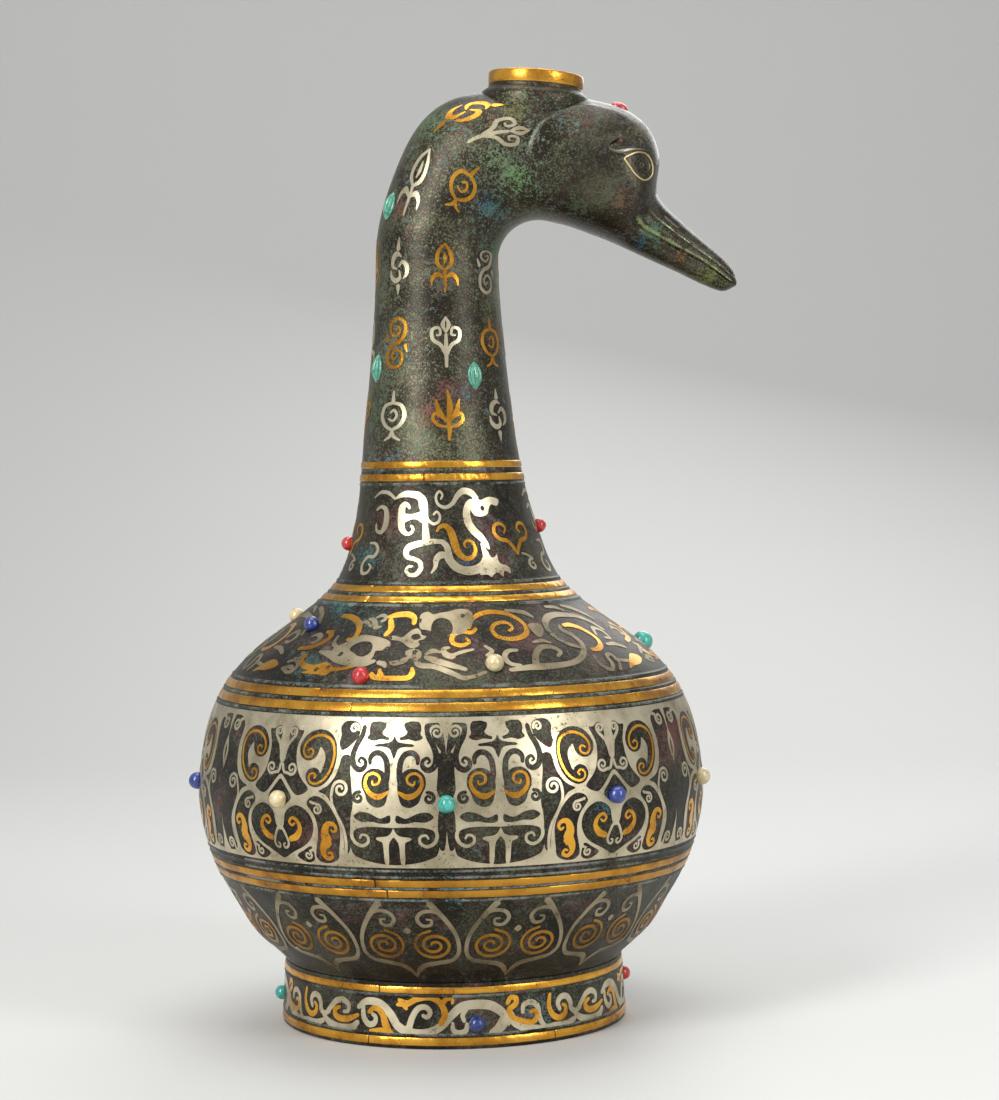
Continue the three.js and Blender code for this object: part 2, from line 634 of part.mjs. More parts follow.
function ovalStone(sectionAt, number, angle, clearance) {
  const geometry = new THREE.IcosahedronGeometry(1, 1);
  geometry.scale(OVAL_WIDTH / 2 + clearance, OVAL_LENGTH / 2 + clearance, OVAL_DEPTH / 2 + clearance);
  return closedMesh(onSkin(geometry, sectionAt, number, angle, 0));
}

// Coral set in the crown of the head
function crownCoral(clearance) {
  const geometry = new THREE.IcosahedronGeometry(1, 1);
  geometry.scale(CROWN_WIDTH / 2 + clearance, CROWN_LENGTH / 2 + clearance, CROWN_DEPTH / 2 + clearance);
  return closedMesh(onSkin(geometry, headStation, CROWN_AT, 0, CROWN_SINK));
}

// Eyes: a tear-shaped wire let into the head, with a raised pupil inside it. The tear's points are shares of
// its width and height.
function tear(width, height) {
  const shape = new THREE.Shape();
  shape.moveTo(-width * 0.56, height * 0.16);
  shape.quadraticCurveTo(-width * 0.2, height * 0.52, width * 0.12, height * 0.5);
  shape.quadraticCurveTo(width * 0.5, height * 0.44, width * 0.46, -height * 0.06);
  shape.quadraticCurveTo(width * 0.38, -height * 0.5, width * 0.02, -height * 0.48);
  shape.quadraticCurveTo(-width * 0.36, -height * 0.36, -width * 0.56, height * 0.16);
  return shape;
}

function eyeWire(side, clearance) {
  const shape = tear(EYE_WIDTH + 2 * clearance, EYE_HEIGHT + 2 * clearance);
  const inside = tear(EYE_WIDTH - 2 * EYE_WIRE - 2 * clearance, EYE_HEIGHT - 2 * EYE_WIRE - 2 * clearance);
  shape.holes.push(new THREE.Path(inside.getPoints(3).reverse()));
  const depth = 4 * (WIRE_DEPTH + CLEARANCE);
  const geometry = new THREE.ExtrudeGeometry(shape, { depth, bevelEnabled: false, curveSegments: 3 });
  geometry.translate(0, 0, -depth / 2);
  if (side < 0) geometry.scale(-1, 1, 1);
  geometry.rotateZ(radians(side * 90));
  return closedMesh(onSkin(geometry, headStation, EYE_AT, side * EYE_ANGLE, 0, side * EYE_TURN));
}

function eyeRing(side) {
  const shell = toSolid(headForm(-PROUD)).subtract(toSolid(headForm(WIRE_DEPTH - PROUD)));
  return toGeometry(toSolid(eyeWire(side, 0)).intersect(shell));
}

function eyeGroove(side) {
  const floor = toSolid(headForm(WIRE_DEPTH - PROUD + CLEARANCE));
  return toGeometry(toSolid(eyeWire(side, CLEARANCE)).subtract(floor));
}

function pupil(side, clearance) {
  const geometry = new THREE.IcosahedronGeometry(PUPIL_WIDTH / 2 + clearance, 1);
  return closedMesh(onSkin(geometry, headStation, EYE_AT, side * EYE_ANGLE, PUPIL_SINK));
}

// The assembly
const vase = new THREE.Group();
vase.name = "bronze_vase";
vase.position.x = AXIS_X;

function addPiece(name, geometry, finish) {
  const mesh = new THREE.Mesh(geometry, new THREE.MeshStandardMaterial(finish));
  mesh.name = name;
  vase.add(mesh);
}

const bodySeats = beads.filter((bead) => bead.host === "belly_shell").map((bead) => ball(bead, CLEARANCE));
const footSeats = beads.filter((bead) => bead.host === "foot_ring").map((bead) => ball(bead, CLEARANCE));
const ovalSeats = ovals.map(([, ...place]) => ovalStone(...place, CLEARANCE));
const headSeats = [
  crownCoral(CLEARANCE),
  eyeGroove(1),
  eyeGroove(-1),
  pupil(1, CLEARANCE),
  pupil(-1, CLEARANCE),
];

addPiece("foot_ring", cut(footRing(), footSeats), BRONZE);
addPiece("belly_shell", cut(bellyShell(), bodySeats), BRONZE);
addPiece("neck_tube", cut(neckTube(), [collarHole(), ...ovalSeats]), GREEN_BRONZE);
addPiece("goose_head", cut(gooseHead(), headSeats), BRONZE);
addPiece("mouth_collar", mouthCollar(), GREEN_BRONZE);

Object.entries(FOOT_STRIPS).forEach(([name, span]) => {
  addPiece(name, strip(footAt, [], span), GOLD);
});
Object.entries(BELLY_STRIPS).forEach(([name, span]) => {
  addPiece(name, strip(outlineAt, rowHeights, span), GOLD);
});
addPiece("gold_rim", rimStrip(), GOLD);

const bandPockets = bellyBeads.map((bead) => ball(bead, CLEARANCE));
addPiece("silver_belly_band", cut(strip(outlineAt, rowHeights, SILVER_BAND), bandPockets), SILVER);

function neckStrip() {
  const sections = NECK_STRIP.map(straightStation);
  return skinned([
    ...ringsAt(sections, -PROUD),
    ...ringsAt(sections.reverse(), STRIP_THICKNESS - PROUD),
  ], NECK_SIDES);
}
addPiece("gold_neck_ring_upper", neckStrip(), GOLD);

beads.forEach((bead) => addPiece(bead.name, ball(bead, 0), bead.finish));
ovals.forEach(([name, ...place]) => addPiece(name, ovalStone(...place, 0), TURQUOISE));
addPiece("crown_coral", crownCoral(0), CORAL);
addPiece("eye_wire_front", eyeRing(1), GOLD);
addPiece("eye_wire_back", eyeRing(-1), GOLD);
addPiece("pupil_front", pupil(1, 0), BRONZE);
addPiece("pupil_back", pupil(-1, 0), BRONZE);

export default vase;
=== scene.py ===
# %% [markdown]
# # A goose-headed bronze vase
#
# The real vase is cast bronze: a ring foot, a round belly, and a tall neck that bends over and ends in a
# goose head. Gold strips, silver and gold scrolls and polished stones are let into it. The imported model
# holds the plain solids. This lesson dresses each of them: it turns the round forms finely, cuts the inlay
# as thin metal shapes that lie on the bronze, sets the stones, and gives every piece a finish made of
# nodes.

# %% Load the plain solids
import json
import math
import bpy
import numpy as np
from mathutils import Matrix, Vector
from mathutils.geometry import delaunay_2d_cdt

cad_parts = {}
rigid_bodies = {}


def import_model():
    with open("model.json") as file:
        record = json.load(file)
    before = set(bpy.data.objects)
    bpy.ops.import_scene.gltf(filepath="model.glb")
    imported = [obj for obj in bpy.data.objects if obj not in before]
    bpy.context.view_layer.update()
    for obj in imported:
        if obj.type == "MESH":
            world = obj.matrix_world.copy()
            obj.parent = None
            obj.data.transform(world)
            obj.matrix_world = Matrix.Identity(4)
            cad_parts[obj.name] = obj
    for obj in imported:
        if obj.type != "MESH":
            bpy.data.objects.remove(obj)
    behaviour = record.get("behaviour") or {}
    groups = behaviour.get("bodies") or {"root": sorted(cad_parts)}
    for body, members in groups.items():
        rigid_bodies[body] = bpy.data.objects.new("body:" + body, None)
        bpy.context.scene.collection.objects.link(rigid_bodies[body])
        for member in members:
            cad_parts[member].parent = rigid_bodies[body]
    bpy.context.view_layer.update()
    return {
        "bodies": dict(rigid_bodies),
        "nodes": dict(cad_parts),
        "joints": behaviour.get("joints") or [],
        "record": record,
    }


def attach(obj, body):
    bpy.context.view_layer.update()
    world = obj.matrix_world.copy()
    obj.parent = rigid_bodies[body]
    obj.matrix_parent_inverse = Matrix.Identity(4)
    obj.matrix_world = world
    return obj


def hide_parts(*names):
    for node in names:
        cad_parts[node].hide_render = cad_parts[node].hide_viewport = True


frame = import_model()

# %% [markdown]
# ## Camera and light
#
# The photograph was taken from about a metre away, a little above the middle of the vase, with a long lens.
# A long lens keeps the bands nearly flat. The camera is also turned a little about its own axis, because the
# vase leans a little to the left in the picture.

# %% The camera
MM = 0.001
CAMERA_PLACE = (13.1, -964, 196.4)
LENS, LOOK_DOWN, ROLL = 97.3, 1.8, -0.75
camera_data = bpy.data.cameras.new("camera")
camera_data.sensor_fit = "HORIZONTAL"
camera_data.sensor_width = 36
camera_data.lens = LENS
camera = bpy.data.objects.new("camera", camera_data)
bpy.context.scene.collection.objects.link(camera)
camera.matrix_world = (Matrix.Translation([c * MM for c in CAMERA_PLACE])
                       @ Matrix.Rotation(math.radians(90 - LOOK_DOWN), 4, "X")
                       @ Matrix.Rotation(math.radians(ROLL), 4, "Z"))
bpy.context.scene.camera = camera
bpy.context.scene.view_settings.view_transform = "Standard"
print("camera at", [round(x, 3) for x in camera.location])

# %% [markdown]
# Metal shows what it reflects more than its own colour, so the lamps are large and soft. One broad lamp on
# the left draws the bright streak down the neck, one on the right opens up the other side, and one overhead
# lights the shoulder. The world is pale only where the camera or a reflection looks at it.

# %% Lamps
def add_lamp(name, place, target, size, power):
    # Places and sizes are in metres, the power is in watts
    data = bpy.data.lights.new(name, "AREA")
    data.shape = "RECTANGLE"
    data.size, data.size_y = size
    data.energy = power
    lamp = bpy.data.objects.new(name, data)
    lamp.location = place
    lamp.rotation_euler = (Vector(target) - Vector(place)).to_track_quat("-Z", "Y").to_euler()
    bpy.context.scene.collection.objects.link(lamp)


add_lamp("lamp_left", (-0.75, -0.95, 0.75), (0, 0, 0.17), (0.32, 0.9), 15)
add_lamp("lamp_right", (0.85, -0.75, 0.6), (0, 0, 0.15), (0.25, 0.8), 6)
add_lamp("lamp_top", (0.0, 0.1, 1.2), (0, 0, 0.2), (0.8, 0.8), 6)
add_lamp("lamp_back", (0.3, 1.0, 0.8), (0, 0, 0.18), (0.8, 0.8), 5)

# %% [markdown]
# ## Shader maths in plain Python
#
# A finish is a sum of masks: crust here, wear there. Writing them as nodes by hand is slow, so a small class
# wraps a socket. Adding or multiplying two of them makes the Math node, and `add` makes any other node.

# %% A socket that can be added and multiplied
class Flow:
    def __init__(self, finish, socket):
        self.finish = finish
        self.socket = socket

    def maths(self, operation, first, second):
        return self.finish.add("ShaderNodeMath", {"operation": operation}, {0: first, 1: second})

    def __add__(self, other):
        return self.maths("ADD", self, other)

    __radd__ = __add__

    def __sub__(self, other):
        return self.maths("SUBTRACT", self, other)

    def __rsub__(self, other):
        return self.maths("SUBTRACT", other, self)

    def __mul__(self, other):
        return self.maths("MULTIPLY", self, other)

    __rmul__ = __mul__

    def __or__(self, other):
        return self.maths("MAXIMUM", self, other)

    def step(self, low, high):
        # Rises smoothly from 0 at low to 1 at high, or falls where low is the larger
        settings = {"interpolation_type": "SMOOTHSTEP"}
        return self.finish.add("ShaderNodeMapRange", settings, {0: self, 1: low, 2: high})


print("maths on sockets is ready")


# %% A finish, and short ways to add nodes to it
class Finish:
    def __init__(self, name, metallic, roughness):
        self.material = bpy.data.materials.new(name)
        self.material.use_nodes = True
        self.tree = self.material.node_tree
        self.shader = self.tree.nodes["Principled BSDF"]
        self.set("Metallic", metallic)
        self.set("Roughness", roughness)
        coordinates = self.tree.nodes.new("ShaderNodeTexCoord")
        self.place = Flow(self, coordinates.outputs["Object"])
        split = self.tree.nodes.new("ShaderNodeSeparateXYZ")
        self.tree.links.new(coordinates.outputs["Object"], split.inputs[0])
        self.x, self.z = Flow(self, split.outputs["X"]), Flow(self, split.outputs["Z"])

    def fill(self, socket, value):
        # Links a flow to a socket, or writes a plain value on it
        if isinstance(value, Flow):
            self.tree.links.new(value.socket, socket)
        else:
            socket.default_value = value

    def add(self, kind, settings, inputs, output=0):
        node = self.tree.nodes.new(kind)
        for key, value in settings.items():
            setattr(node, key, value)
        for key, value in inputs.items():
            self.fill(node.inputs[key], value)
        return Flow(self, node.outputs[output])

    def set(self, name, value):
        self.fill(self.shader.inputs[name], value)

    def noise(self, scale, detail=4, roughness=0.6, warp=0.0):
        return self.add("ShaderNodeTexNoise", {}, {
            "Vector": self.place, "Scale": scale, "Detail": detail, "Roughness": roughness,
            "Distortion": warp})

    def mix(self, factor, first, second):
        # Sockets 0, 6 and 7 are the factor and the two colours
        colours = [(*c, 1) if isinstance(c, tuple) else c for c in (first, second)]
        return self.add("ShaderNodeMix", {"data_type": "RGBA"}, {0: factor, 6: colours[0], 7: colours[1]}, 2)

    def bump(self, height, distance):
        self.set("Normal", self.add("ShaderNodeBump", {}, {"Height": height, "Distance": distance * MM}))


print("finishes can be made")

# %% [markdown]
# ## The bronze
#
# Old bronze is dark, but no two millimetres of it are the same colour: pale worm-like wear lies over it, with
# green specks, blue-green dots and rust-red patches. Each of these is a noise of its own size, cut to a mask.
# Damp stood at the raised lines beside the bands, so a pale crust follows them; its mask reads the height.
# Some patches stay in one place on the real vase, such as the green inside the bend. They are spots round a
# point, seen from the side, with their edges broken up by the noises. One pale spot on the neck, on the
# crest's edge, is a painted highlight rather than patina.

# %% Tones of old bronze, and where the raised lines run
RUST_RED = (0.105, 0.026, 0.018)
MOSS_GREEN = (0.062, 0.088, 0.042)
DOT_BLUE = (0.060, 0.19, 0.21)
LINE_CRUST = (0.20, 0.24, 0.20)
RAISED_LINES = (4.9, 17.8, 53.9, 57.9, 61.9, 64.1, 115.1, 119.5, 123.9, 149.1, 152.6, 156.4, 190.2)
print("raised lines:", len(RAISED_LINES))


# %% The bronze finish
def bronze(name, tones, spots, wear, green, rust, lines, shine):
    # The tones are dark, middle and light. A spot has its x and height, its radius, its tone and its share
    dark, middle, light = tones
    finish = Finish(name, 0.7, 0.42)
    cloud = finish.noise(34, 5, 0.65, 0.4)
    patch = finish.noise(58, 5, 0.7, 0.8)
    grain = finish.noise(540, 3, 0.7)
    worm = finish.noise(1050, 3, 0.62, 1.0)
    fleck = finish.noise(1500, 2, 0.55)
    worn = (fleck * 0.8 + cloud * 0.5).step(0.62, 0.86) * wear
    specks = (grain * 0.45 + fleck * 0.35 + cloud * 0.45).step(0.60, 0.74) * green
    dots = (worm * 0.4 + grain * 0.4 + patch * 0.45).step(0.69, 0.74) * green * 0.8
    red = (patch * 0.75 + worm * 0.3).step(0.54, 0.68) * rust
    colour = finish.mix(cloud.step(0.35, 0.65), dark, middle)
    colour = finish.mix(red, colour, RUST_RED)
    colour = finish.mix(specks, colour, MOSS_GREEN)
    colour = finish.mix(worn, colour, light)
    colour = finish.mix(dots, colour, DOT_BLUE)
    flat = finish.add("ShaderNodeCombineXYZ", {}, {0: finish.x, 2: finish.z})
    cover = specks * 0.6 | dots | red * 0.5
    for x, z, radius, tone, amount in spots:
        centre = (x * MM, 0, z * MM)
        away = finish.add("ShaderNodeVectorMath", {"operation": "DISTANCE"}, {0: flat, 1: centre}, 1)
        ragged = away * (-1 / (radius * MM)) + grain * 3.0 + patch * 1.4 + fleck * 3.4 - 3.1
        spot = ragged.step(0.0, 0.9) * amount
        colour = finish.mix(spot, colour, tone)
        cover = cover | spot * 0.8
    if lines:
        line = None
        for z in RAISED_LINES:
            close = {0: finish.z, 1: z * MM, 2: 0.45 * MM}
            near = finish.add("ShaderNodeMath", {"operation": "COMPARE"}, close)
            line = near if line is None else line | near
        crust = line * (patch * 0.9 + worm * 0.5).step(0.64, 0.80) * 0.65
        colour = finish.mix(crust, colour, LINE_CRUST)
        cover = cover | crust
    finish.set("Base Color", colour)
    finish.set("Metallic", (1 - cover) * 0.72)
    finish.set("Roughness", 0.30 + worm * 0.16 + cover * 0.35 - shine)
    finish.bump(worm * 0.4 + grain * 0.3 + cover * 0.4 - worn * 0.2, 0.22)
    return finish


print("bronze can be made")

# %% Spots that stay in one place
BODY_SPOTS = (
    (72, 104, 11, (0.12, 0.035, 0.022), 0.8), (66, 44, 15, (0.080, 0.100, 0.065), 0.7),
    (38, 168, 6, (0.15, 0.03, 0.02), 0.7), (24, 12, 8, (0.10, 0.17, 0.16), 0.6),
    (-3, 57, 5, (0.05, 0.22, 0.28), 0.6), (-42, 149, 7, (0.05, 0.20, 0.19), 0.5),
    (22, 138, 7, (0.13, 0.03, 0.02), 0.7), (-4, 134, 7, (0.11, 0.03, 0.02), 0.6),
    (-30, 144, 6, (0.055, 0.13, 0.11), 0.5), (-52, 130, 8, (0.06, 0.13, 0.11), 0.5),
    (3, 150, 5, (0.12, 0.035, 0.025), 0.6), (-27, 178, 7, (0.10, 0.028, 0.02), 0.6),
    (-33, 165, 5, (0.04, 0.16, 0.16), 0.6), (2, 163, 4, (0.03, 0.06, 0.14), 0.6),
    (48, 84, 6, (0.04, 0.13, 0.15), 0.5), (-50, 74, 8, (0.09, 0.028, 0.02), 0.6))
NECK_SPOTS = (
    (18, 300, 21, (0.080, 0.105, 0.062), 0.75), (21, 296, 7, (0.12, 0.23, 0.085), 0.85),
    (14, 303, 6, (0.11, 0.17, 0.075), 0.7), (12, 286, 6, (0.045, 0.15, 0.13), 0.75),
    (10, 289, 3, (0.02, 0.06, 0.14), 0.7), (20, 320, 7, (0.15, 0.15, 0.055), 0.7),
    (13, 316, 4, (0.19, 0.11, 0.035), 0.6), (-9, 318, 10, (0.085, 0.14, 0.06), 0.75),
    # The pale spot at x 27, height 310 is a painted highlight on the crest's edge.
    (27, 310, 4, (0.13, 0.15, 0.11), 0.5), (13, 272, 5, (0.07, 0.13, 0.07), 0.7),
    (-10, 215, 7, (0.15, 0.035, 0.024), 0.75), (-5, 223, 5, (0.13, 0.035, 0.024), 0.7),
    (-21, 287, 5, (0.12, 0.035, 0.022), 0.7), (15, 242, 8, (0.085, 0.03, 0.02), 0.7),
    (-29, 262, 20, (0.075, 0.090, 0.045), 0.75), (-30, 216, 12, (0.075, 0.105, 0.055), 0.7),
    (-4, 262, 12, (0.090, 0.085, 0.050), 0.6))
HEAD_SPOTS = (
    (57, 288, 5, (0.12, 0.050, 0.026), 0.75), (50, 292, 4, (0.10, 0.045, 0.026), 0.6),
    (52, 290, 6, (0.060, 0.085, 0.042), 0.6), (42, 287, 6, (0.050, 0.095, 0.050), 0.6),
    (64.5, 274.5, 3.4, (0.008, 0.060, 0.11), 0.8), (69, 278, 6, (0.035, 0.12, 0.055), 0.7),
    (78.5, 269, 2.4, (0.19, 0.085, 0.03), 0.7), (89, 262, 6, (0.11, 0.13, 0.03), 0.75),
    (34, 303, 9, (0.10, 0.14, 0.105), 0.6), (64.5, 313, 5, (0.085, 0.080, 0.025), 0.7),
    (44, 318, 5, (0.10, 0.055, 0.035), 0.6), (57.2, 309.1, 0.9, (0.36, 0.06, 0.05), 0.9))
print("spots:", len(BODY_SPOTS), len(NECK_SPOTS), len(HEAD_SPOTS))

# %% The bronze of the body, the neck and the head
BODY_TONES = (0.011, 0.009, 0.006), (0.027, 0.021, 0.014), (0.13, 0.112, 0.078)
NECK_TONES = (0.021, 0.017, 0.011), (0.054, 0.045, 0.027), (0.21, 0.19, 0.11)
HEAD_TONES = (0.020, 0.016, 0.011), (0.046, 0.038, 0.025), (0.16, 0.15, 0.10)
body_finish = bronze("bronze_body", BODY_TONES, BODY_SPOTS, 0.42, 0.4, 0.85, lines=True, shine=0.0)
neck_finish = bronze("bronze_neck", NECK_TONES, NECK_SPOTS, 0.6, 0.75, 0.45, lines=True, shine=0.06)
head_finish = bronze("bronze_head", HEAD_TONES, HEAD_SPOTS, 0.34, 0.3, 0.35, lines=False, shine=0.12)
BODY_BRONZE = body_finish.material
print("bronze finishes:", [f.material.name for f in (body_finish, neck_finish, head_finish)])

# %% Crust lines that follow a shape
# The meshes of the neck and head carry a number for it on every point, made with them
def with_crust(finish, tone, amount):
    mark = finish.add("ShaderNodeAttribute", {"attribute_name": "crust"}, {}, 2)
    mask = (mark + finish.noise(600, 4, 0.75) * 1.1).step(1.10, 1.50) * amount
    before = finish.shader.inputs["Base Color"].links[0].from_socket
    finish.set("Base Color", finish.mix(mask, Flow(finish, before), tone))
    return finish.material


NECK_BRONZE = with_crust(neck_finish, (0.23, 0.25, 0.17), 0.75)
# On the bill's ridge this pale tone is crust and a painted highlight together.
HEAD_BRONZE = with_crust(head_finish, (0.28, 0.33, 0.15), 0.85)
print("with crust:", NECK_BRONZE.name, HEAD_BRONZE.name)

# %% [markdown]
# ## Gold and silver
#
# The gold strips are worn and dented, with dark bronze showing in pits. The silver has gone warm and grey,
# and is scratched. A metal's colour is the colour of its reflection, so both are plain bright metals whose
# roughness changes, with small dark pits. The darker golds on the strips under the belly and on the drops'
# spirals are painted shade for these downward-facing parts.

# %% The inlay finishes
PIT_BROWN = (0.05, 0.035, 0.02)


def inlay(name, colour, deep, pits, roughness):
    finish = Finish(name, 1.0, roughness)
    wide = finish.noise(70, 4, 0.6)
    small = finish.noise(900, 3, 0.7)
    scratch = finish.noise(2600, 1, 0.5)
    pit = (small * 0.8 + wide * 0.35).step(0.66, 0.74) * pits
    tone = finish.mix(wide.step(0.38, 0.66), colour, deep)
    tone = finish.mix(pit, tone, PIT_BROWN)
    finish.set("Base Color", tone)
    finish.set("Metallic", 1 - pit * 0.5)
    finish.set("Roughness", roughness - 0.05 + wide * 0.14 + pit * 0.3)
    finish.bump(small * 0.4 + scratch * 0.15 - pit * 0.5, 0.12)
    return finish.material


GOLD = inlay("gold", (0.74, 0.38, 0.052), (0.45, 0.19, 0.02), 0.85, 0.25)
# A darker gold for the strips under the belly: painted shade for these downward-facing strips.
SHADED_GOLD = inlay("shaded_gold", (0.58, 0.285, 0.04), (0.34, 0.14, 0.018), 0.9, 0.28)
# A darker gold still for the drops' spirals: painted shade for the belly's underside.
DROP_GOLD_SHADED = inlay("drop_gold_shaded", (0.43, 0.215, 0.036), (0.23, 0.105, 0.018), 0.95, 0.33)
# The lid's pale tone is a painted highlight, and the slits' near-black is painted shade.
LID_PAINTED_HIGHLIGHT = inlay("lid_painted_highlight", (0.30, 0.29, 0.24), (0.13, 0.12, 0.09), 0.8, 0.30)
SLIT_PAINTED_SHADE = inlay("slit_painted_shade", (0.012, 0.009, 0.008), (0.006, 0.005, 0.004), 0.5, 0.5)
PALE_GOLD = inlay("pale_gold", (0.62, 0.50, 0.24), (0.40, 0.31, 0.13), 0.8, 0.32)
SILVER = inlay("silver", (0.62, 0.545, 0.385), (0.38, 0.325, 0.215), 0.7, 0.33)
DULL_SILVER = inlay("silver_dull", (0.38, 0.32, 0.21), (0.21, 0.17, 0.105), 0.9, 0.40)
print("inlay finishes:", [m.name for m in (GOLD, SHADED_GOLD, DROP_GOLD_SHADED, PALE_GOLD, SILVER, DULL_SILVER)])

# %% [markdown]
# ## Stones
#
# The stones are polished balls: turquoise, coral, dark blue and cream. A little coat gives the wet highlight,
# and veins or clouds of a second tone keep them from looking like plastic.

# %% The stone finishes
def stone(name, colour, vein, scale):
    finish = Finish(name, 0.0, 0.3)
    cloud = finish.noise(scale, 5, 0.65, 1.2)
    spots = finish.noise(scale * 4, 3, 0.6)
    tone = finish.mix(cloud.step(0.42, 0.62), colour, vein)
    dark = tuple(c * 0.35 for c in vein)
    finish.set("Base Color", finish.mix(spots.step(0.62, 0.72) * 0.5, tone, dark))
    finish.set("Roughness", 0.22 + spots * 0.14)
    finish.set("Coat Weight", 0.6)
    finish.set("Coat Roughness", 0.12)
    finish.bump(spots, 0.05)
    return finish.material


STONES = {"turquoise": stone("turquoise", (0.055, 0.42, 0.34), (0.02, 0.25, 0.21), 260),
          "coral": stone("coral", (0.55, 0.022, 0.018), (0.36, 0.012, 0.014), 260),
          "lapis": stone("lapis", (0.020, 0.045, 0.24), (0.010, 0.020, 0.12), 320),
          "cream_stone": stone("cream_stone", (0.66, 0.56, 0.33), (0.50, 0.39, 0.19), 300)}
OVAL_STONE = stone("turquoise_oval", (0.10, 0.35, 0.25), (0.028, 0.19, 0.12), 420)
print("stone finishes:", list(STONES), OVAL_STONE.name)

# %% [markdown]
# ## The vase's outline
#
# Every turned piece follows one side view. It is a smooth curve through a few measured points, the same curve
# that the plain solids were made from, so each dressed piece sits exactly where its solid is. The widths are
# the radius from the vase's own axis and the heights are from the floor, in millimetres.

# %% Smooth curves through points
def smooth_curve(points, count, closed=False):
    # A centripetal Catmull-Rom curve: it passes through every point and never loops between two of them
    points = np.array(points, float)
    if closed:
        rows = np.vstack([points[-1], points, points[0], points[1]])
    else:
        rows = np.vstack([2 * points[0] - points[1], points, 2 * points[-1] - points[-2]])
    spans = len(rows) - 3
    result = []
    for t in np.linspace(0, spans, count, endpoint=not closed):
        i = min(int(t), spans - 1)
        p0, p1, p2, p3 = rows[i:i + 4]
        gaps = [max(np.linalg.norm(b - a) ** 0.5, 1e-4) for a, b in ((p0, p1), (p1, p2), (p2, p3))]
        m1 = ((p1 - p0) / gaps[0] - (p2 - p0) / (gaps[0] + gaps[1]) + (p2 - p1) / gaps[1]) * gaps[1]
        m2 = ((p2 - p1) / gaps[1] - (p3 - p1) / (gaps[1] + gaps[2]) + (p3 - p2) / gaps[2]) * gaps[1]
        s = t - i
        bend = 3 * (p2 - p1) - 2 * m1 - m2
        result.append(p1 + m1 * s + bend * s ** 2 + (2 * (p1 - p2) + m1 + m2) * s ** 3)
    return np.array(result)


print("middle of a small arch:", smooth_curve([(0, 0), (1, 1), (2, 0)], 3)[1])

# %% The side view
AXIS_X = -5.2
FOOT_TOP_RADIUS, FOOT_SPREAD, FOOT_HEIGHT = 60, 1.3, 22.2
SEAT_Z, BELLY_RADIUS, BELLY_Z, JOINT_RADIUS, JOINT_Z = 22.5, 89.8, 81.4, 28.6, 194.75
LOWER = [(0, 0), (0.05, 0.035), (0.2, 0.105), (0.37, 0.19), (0.55, 0.338), (0.785, 0.55), (0.936, 0.773)]
UPPER = [(0.98, 0.125), (0.933, 0.236), (0.872, 0.311), (0.78, 0.385), (0.64, 0.458), (0.495, 0.515),
         (0.352, 0.572), (0.2, 0.647), (0.125, 0.72), (0.08, 0.797), (0.033, 0.892), (0, 1)]
lower_points = [(FOOT_TOP_RADIUS + out * (BELLY_RADIUS - FOOT_TOP_RADIUS), SEAT_Z + up * (BELLY_Z - SEAT_Z))
                for out, up in LOWER]
upper_points = [(JOINT_RADIUS + out * (BELLY_RADIUS - JOINT_RADIUS), BELLY_Z + up * (JOINT_Z - BELLY_Z))
                for out, up in UPPER]
side_view = smooth_curve(lower_points + [(BELLY_RADIUS, BELLY_Z)] + upper_points, 601)
LEAN, LEAN_START, LEAN_HEIGHT = 2.6, 150, 65


def lean(z):
    # The neck stands a little to the left of the belly's axis, reached smoothly between two heights
    share = np.clip((np.asarray(z, float) - LEAN_START) / LEAN_HEIGHT, 0, 1)
    return -LEAN * share ** 2 * (3 - 2 * share)


def radius_at(z):
    z = np.asarray(z, float)
    foot = FOOT_TOP_RADIUS + FOOT_SPREAD * (1 - z / FOOT_HEIGHT)
    return np.where(z < SEAT_Z - 0.15, foot, np.interp(z, side_view[:, 1], side_view[:, 0]))


print("widest", side_view[:, 0].max(), "at", side_view[side_view[:, 0].argmax(), 1])

# %% [markdown]
# ## Skins
#
# A skin is a rule that turns two flat numbers into a place in space. On the body they are the azimuth, in
# degrees from the front, and the height. Inlay drawn flat can then be laid on the vase. A point can also be
# lifted off the skin along its normal, which is how a thin strip gets its thickness.

# %% The body's skin
def body_skin(azimuth, height):
    angle = np.radians(azimuth)
    radius = radius_at(height)
    middle = AXIS_X + lean(height)
    return np.stack([middle + radius * np.sin(angle), -radius * np.cos(angle), height + 0 * angle], -1)


def lifted(skin, across, along, lift):
    across, along = np.asarray(across, float), np.asarray(along, float)
    here = skin(across, along)
    ahead = skin(across, along + 0.05) - skin(across, along - 0.05)
    beside = skin(across + 0.05, along) - skin(across - 0.05, along)
    out = np.cross(beside, ahead)
    out /= np.linalg.norm(out, axis=-1, keepdims=True)
    return here + out * np.asarray(lift)[..., None]


print("front of the belly:", np.round(body_skin(0, BELLY_Z), 1))


# %% Small helpers for meshes
def deselect():
    if bpy.context.object and bpy.context.object.mode != "OBJECT":
        bpy.ops.object.mode_set(mode="OBJECT")
    bpy.ops.object.select_all(action="DESELECT")


def pick(piece):
    # Selects one piece alone, so that an operator acts on nothing else
    deselect()
    piece.select_set(True)
    bpy.context.view_layer.objects.active = piece


def mesh_object(name, points, faces, edges=()):
    mesh = bpy.data.meshes.new(name)
    places = [tuple(p) for p in np.asarray(points) * MM]
    mesh.from_pydata(places, list(edges), [tuple(int(i) for i in f) for f in faces])
    piece = bpy.data.objects.new(name, mesh)
    bpy.context.scene.collection.objects.link(piece)
    pick(piece)
    return piece


def copied(piece, name):
    # A copy with a mesh of its own
    copy = piece.copy()
    copy.data = piece.data.copy()
    copy.name = name
    bpy.context.scene.collection.objects.link(copy)
    return copy


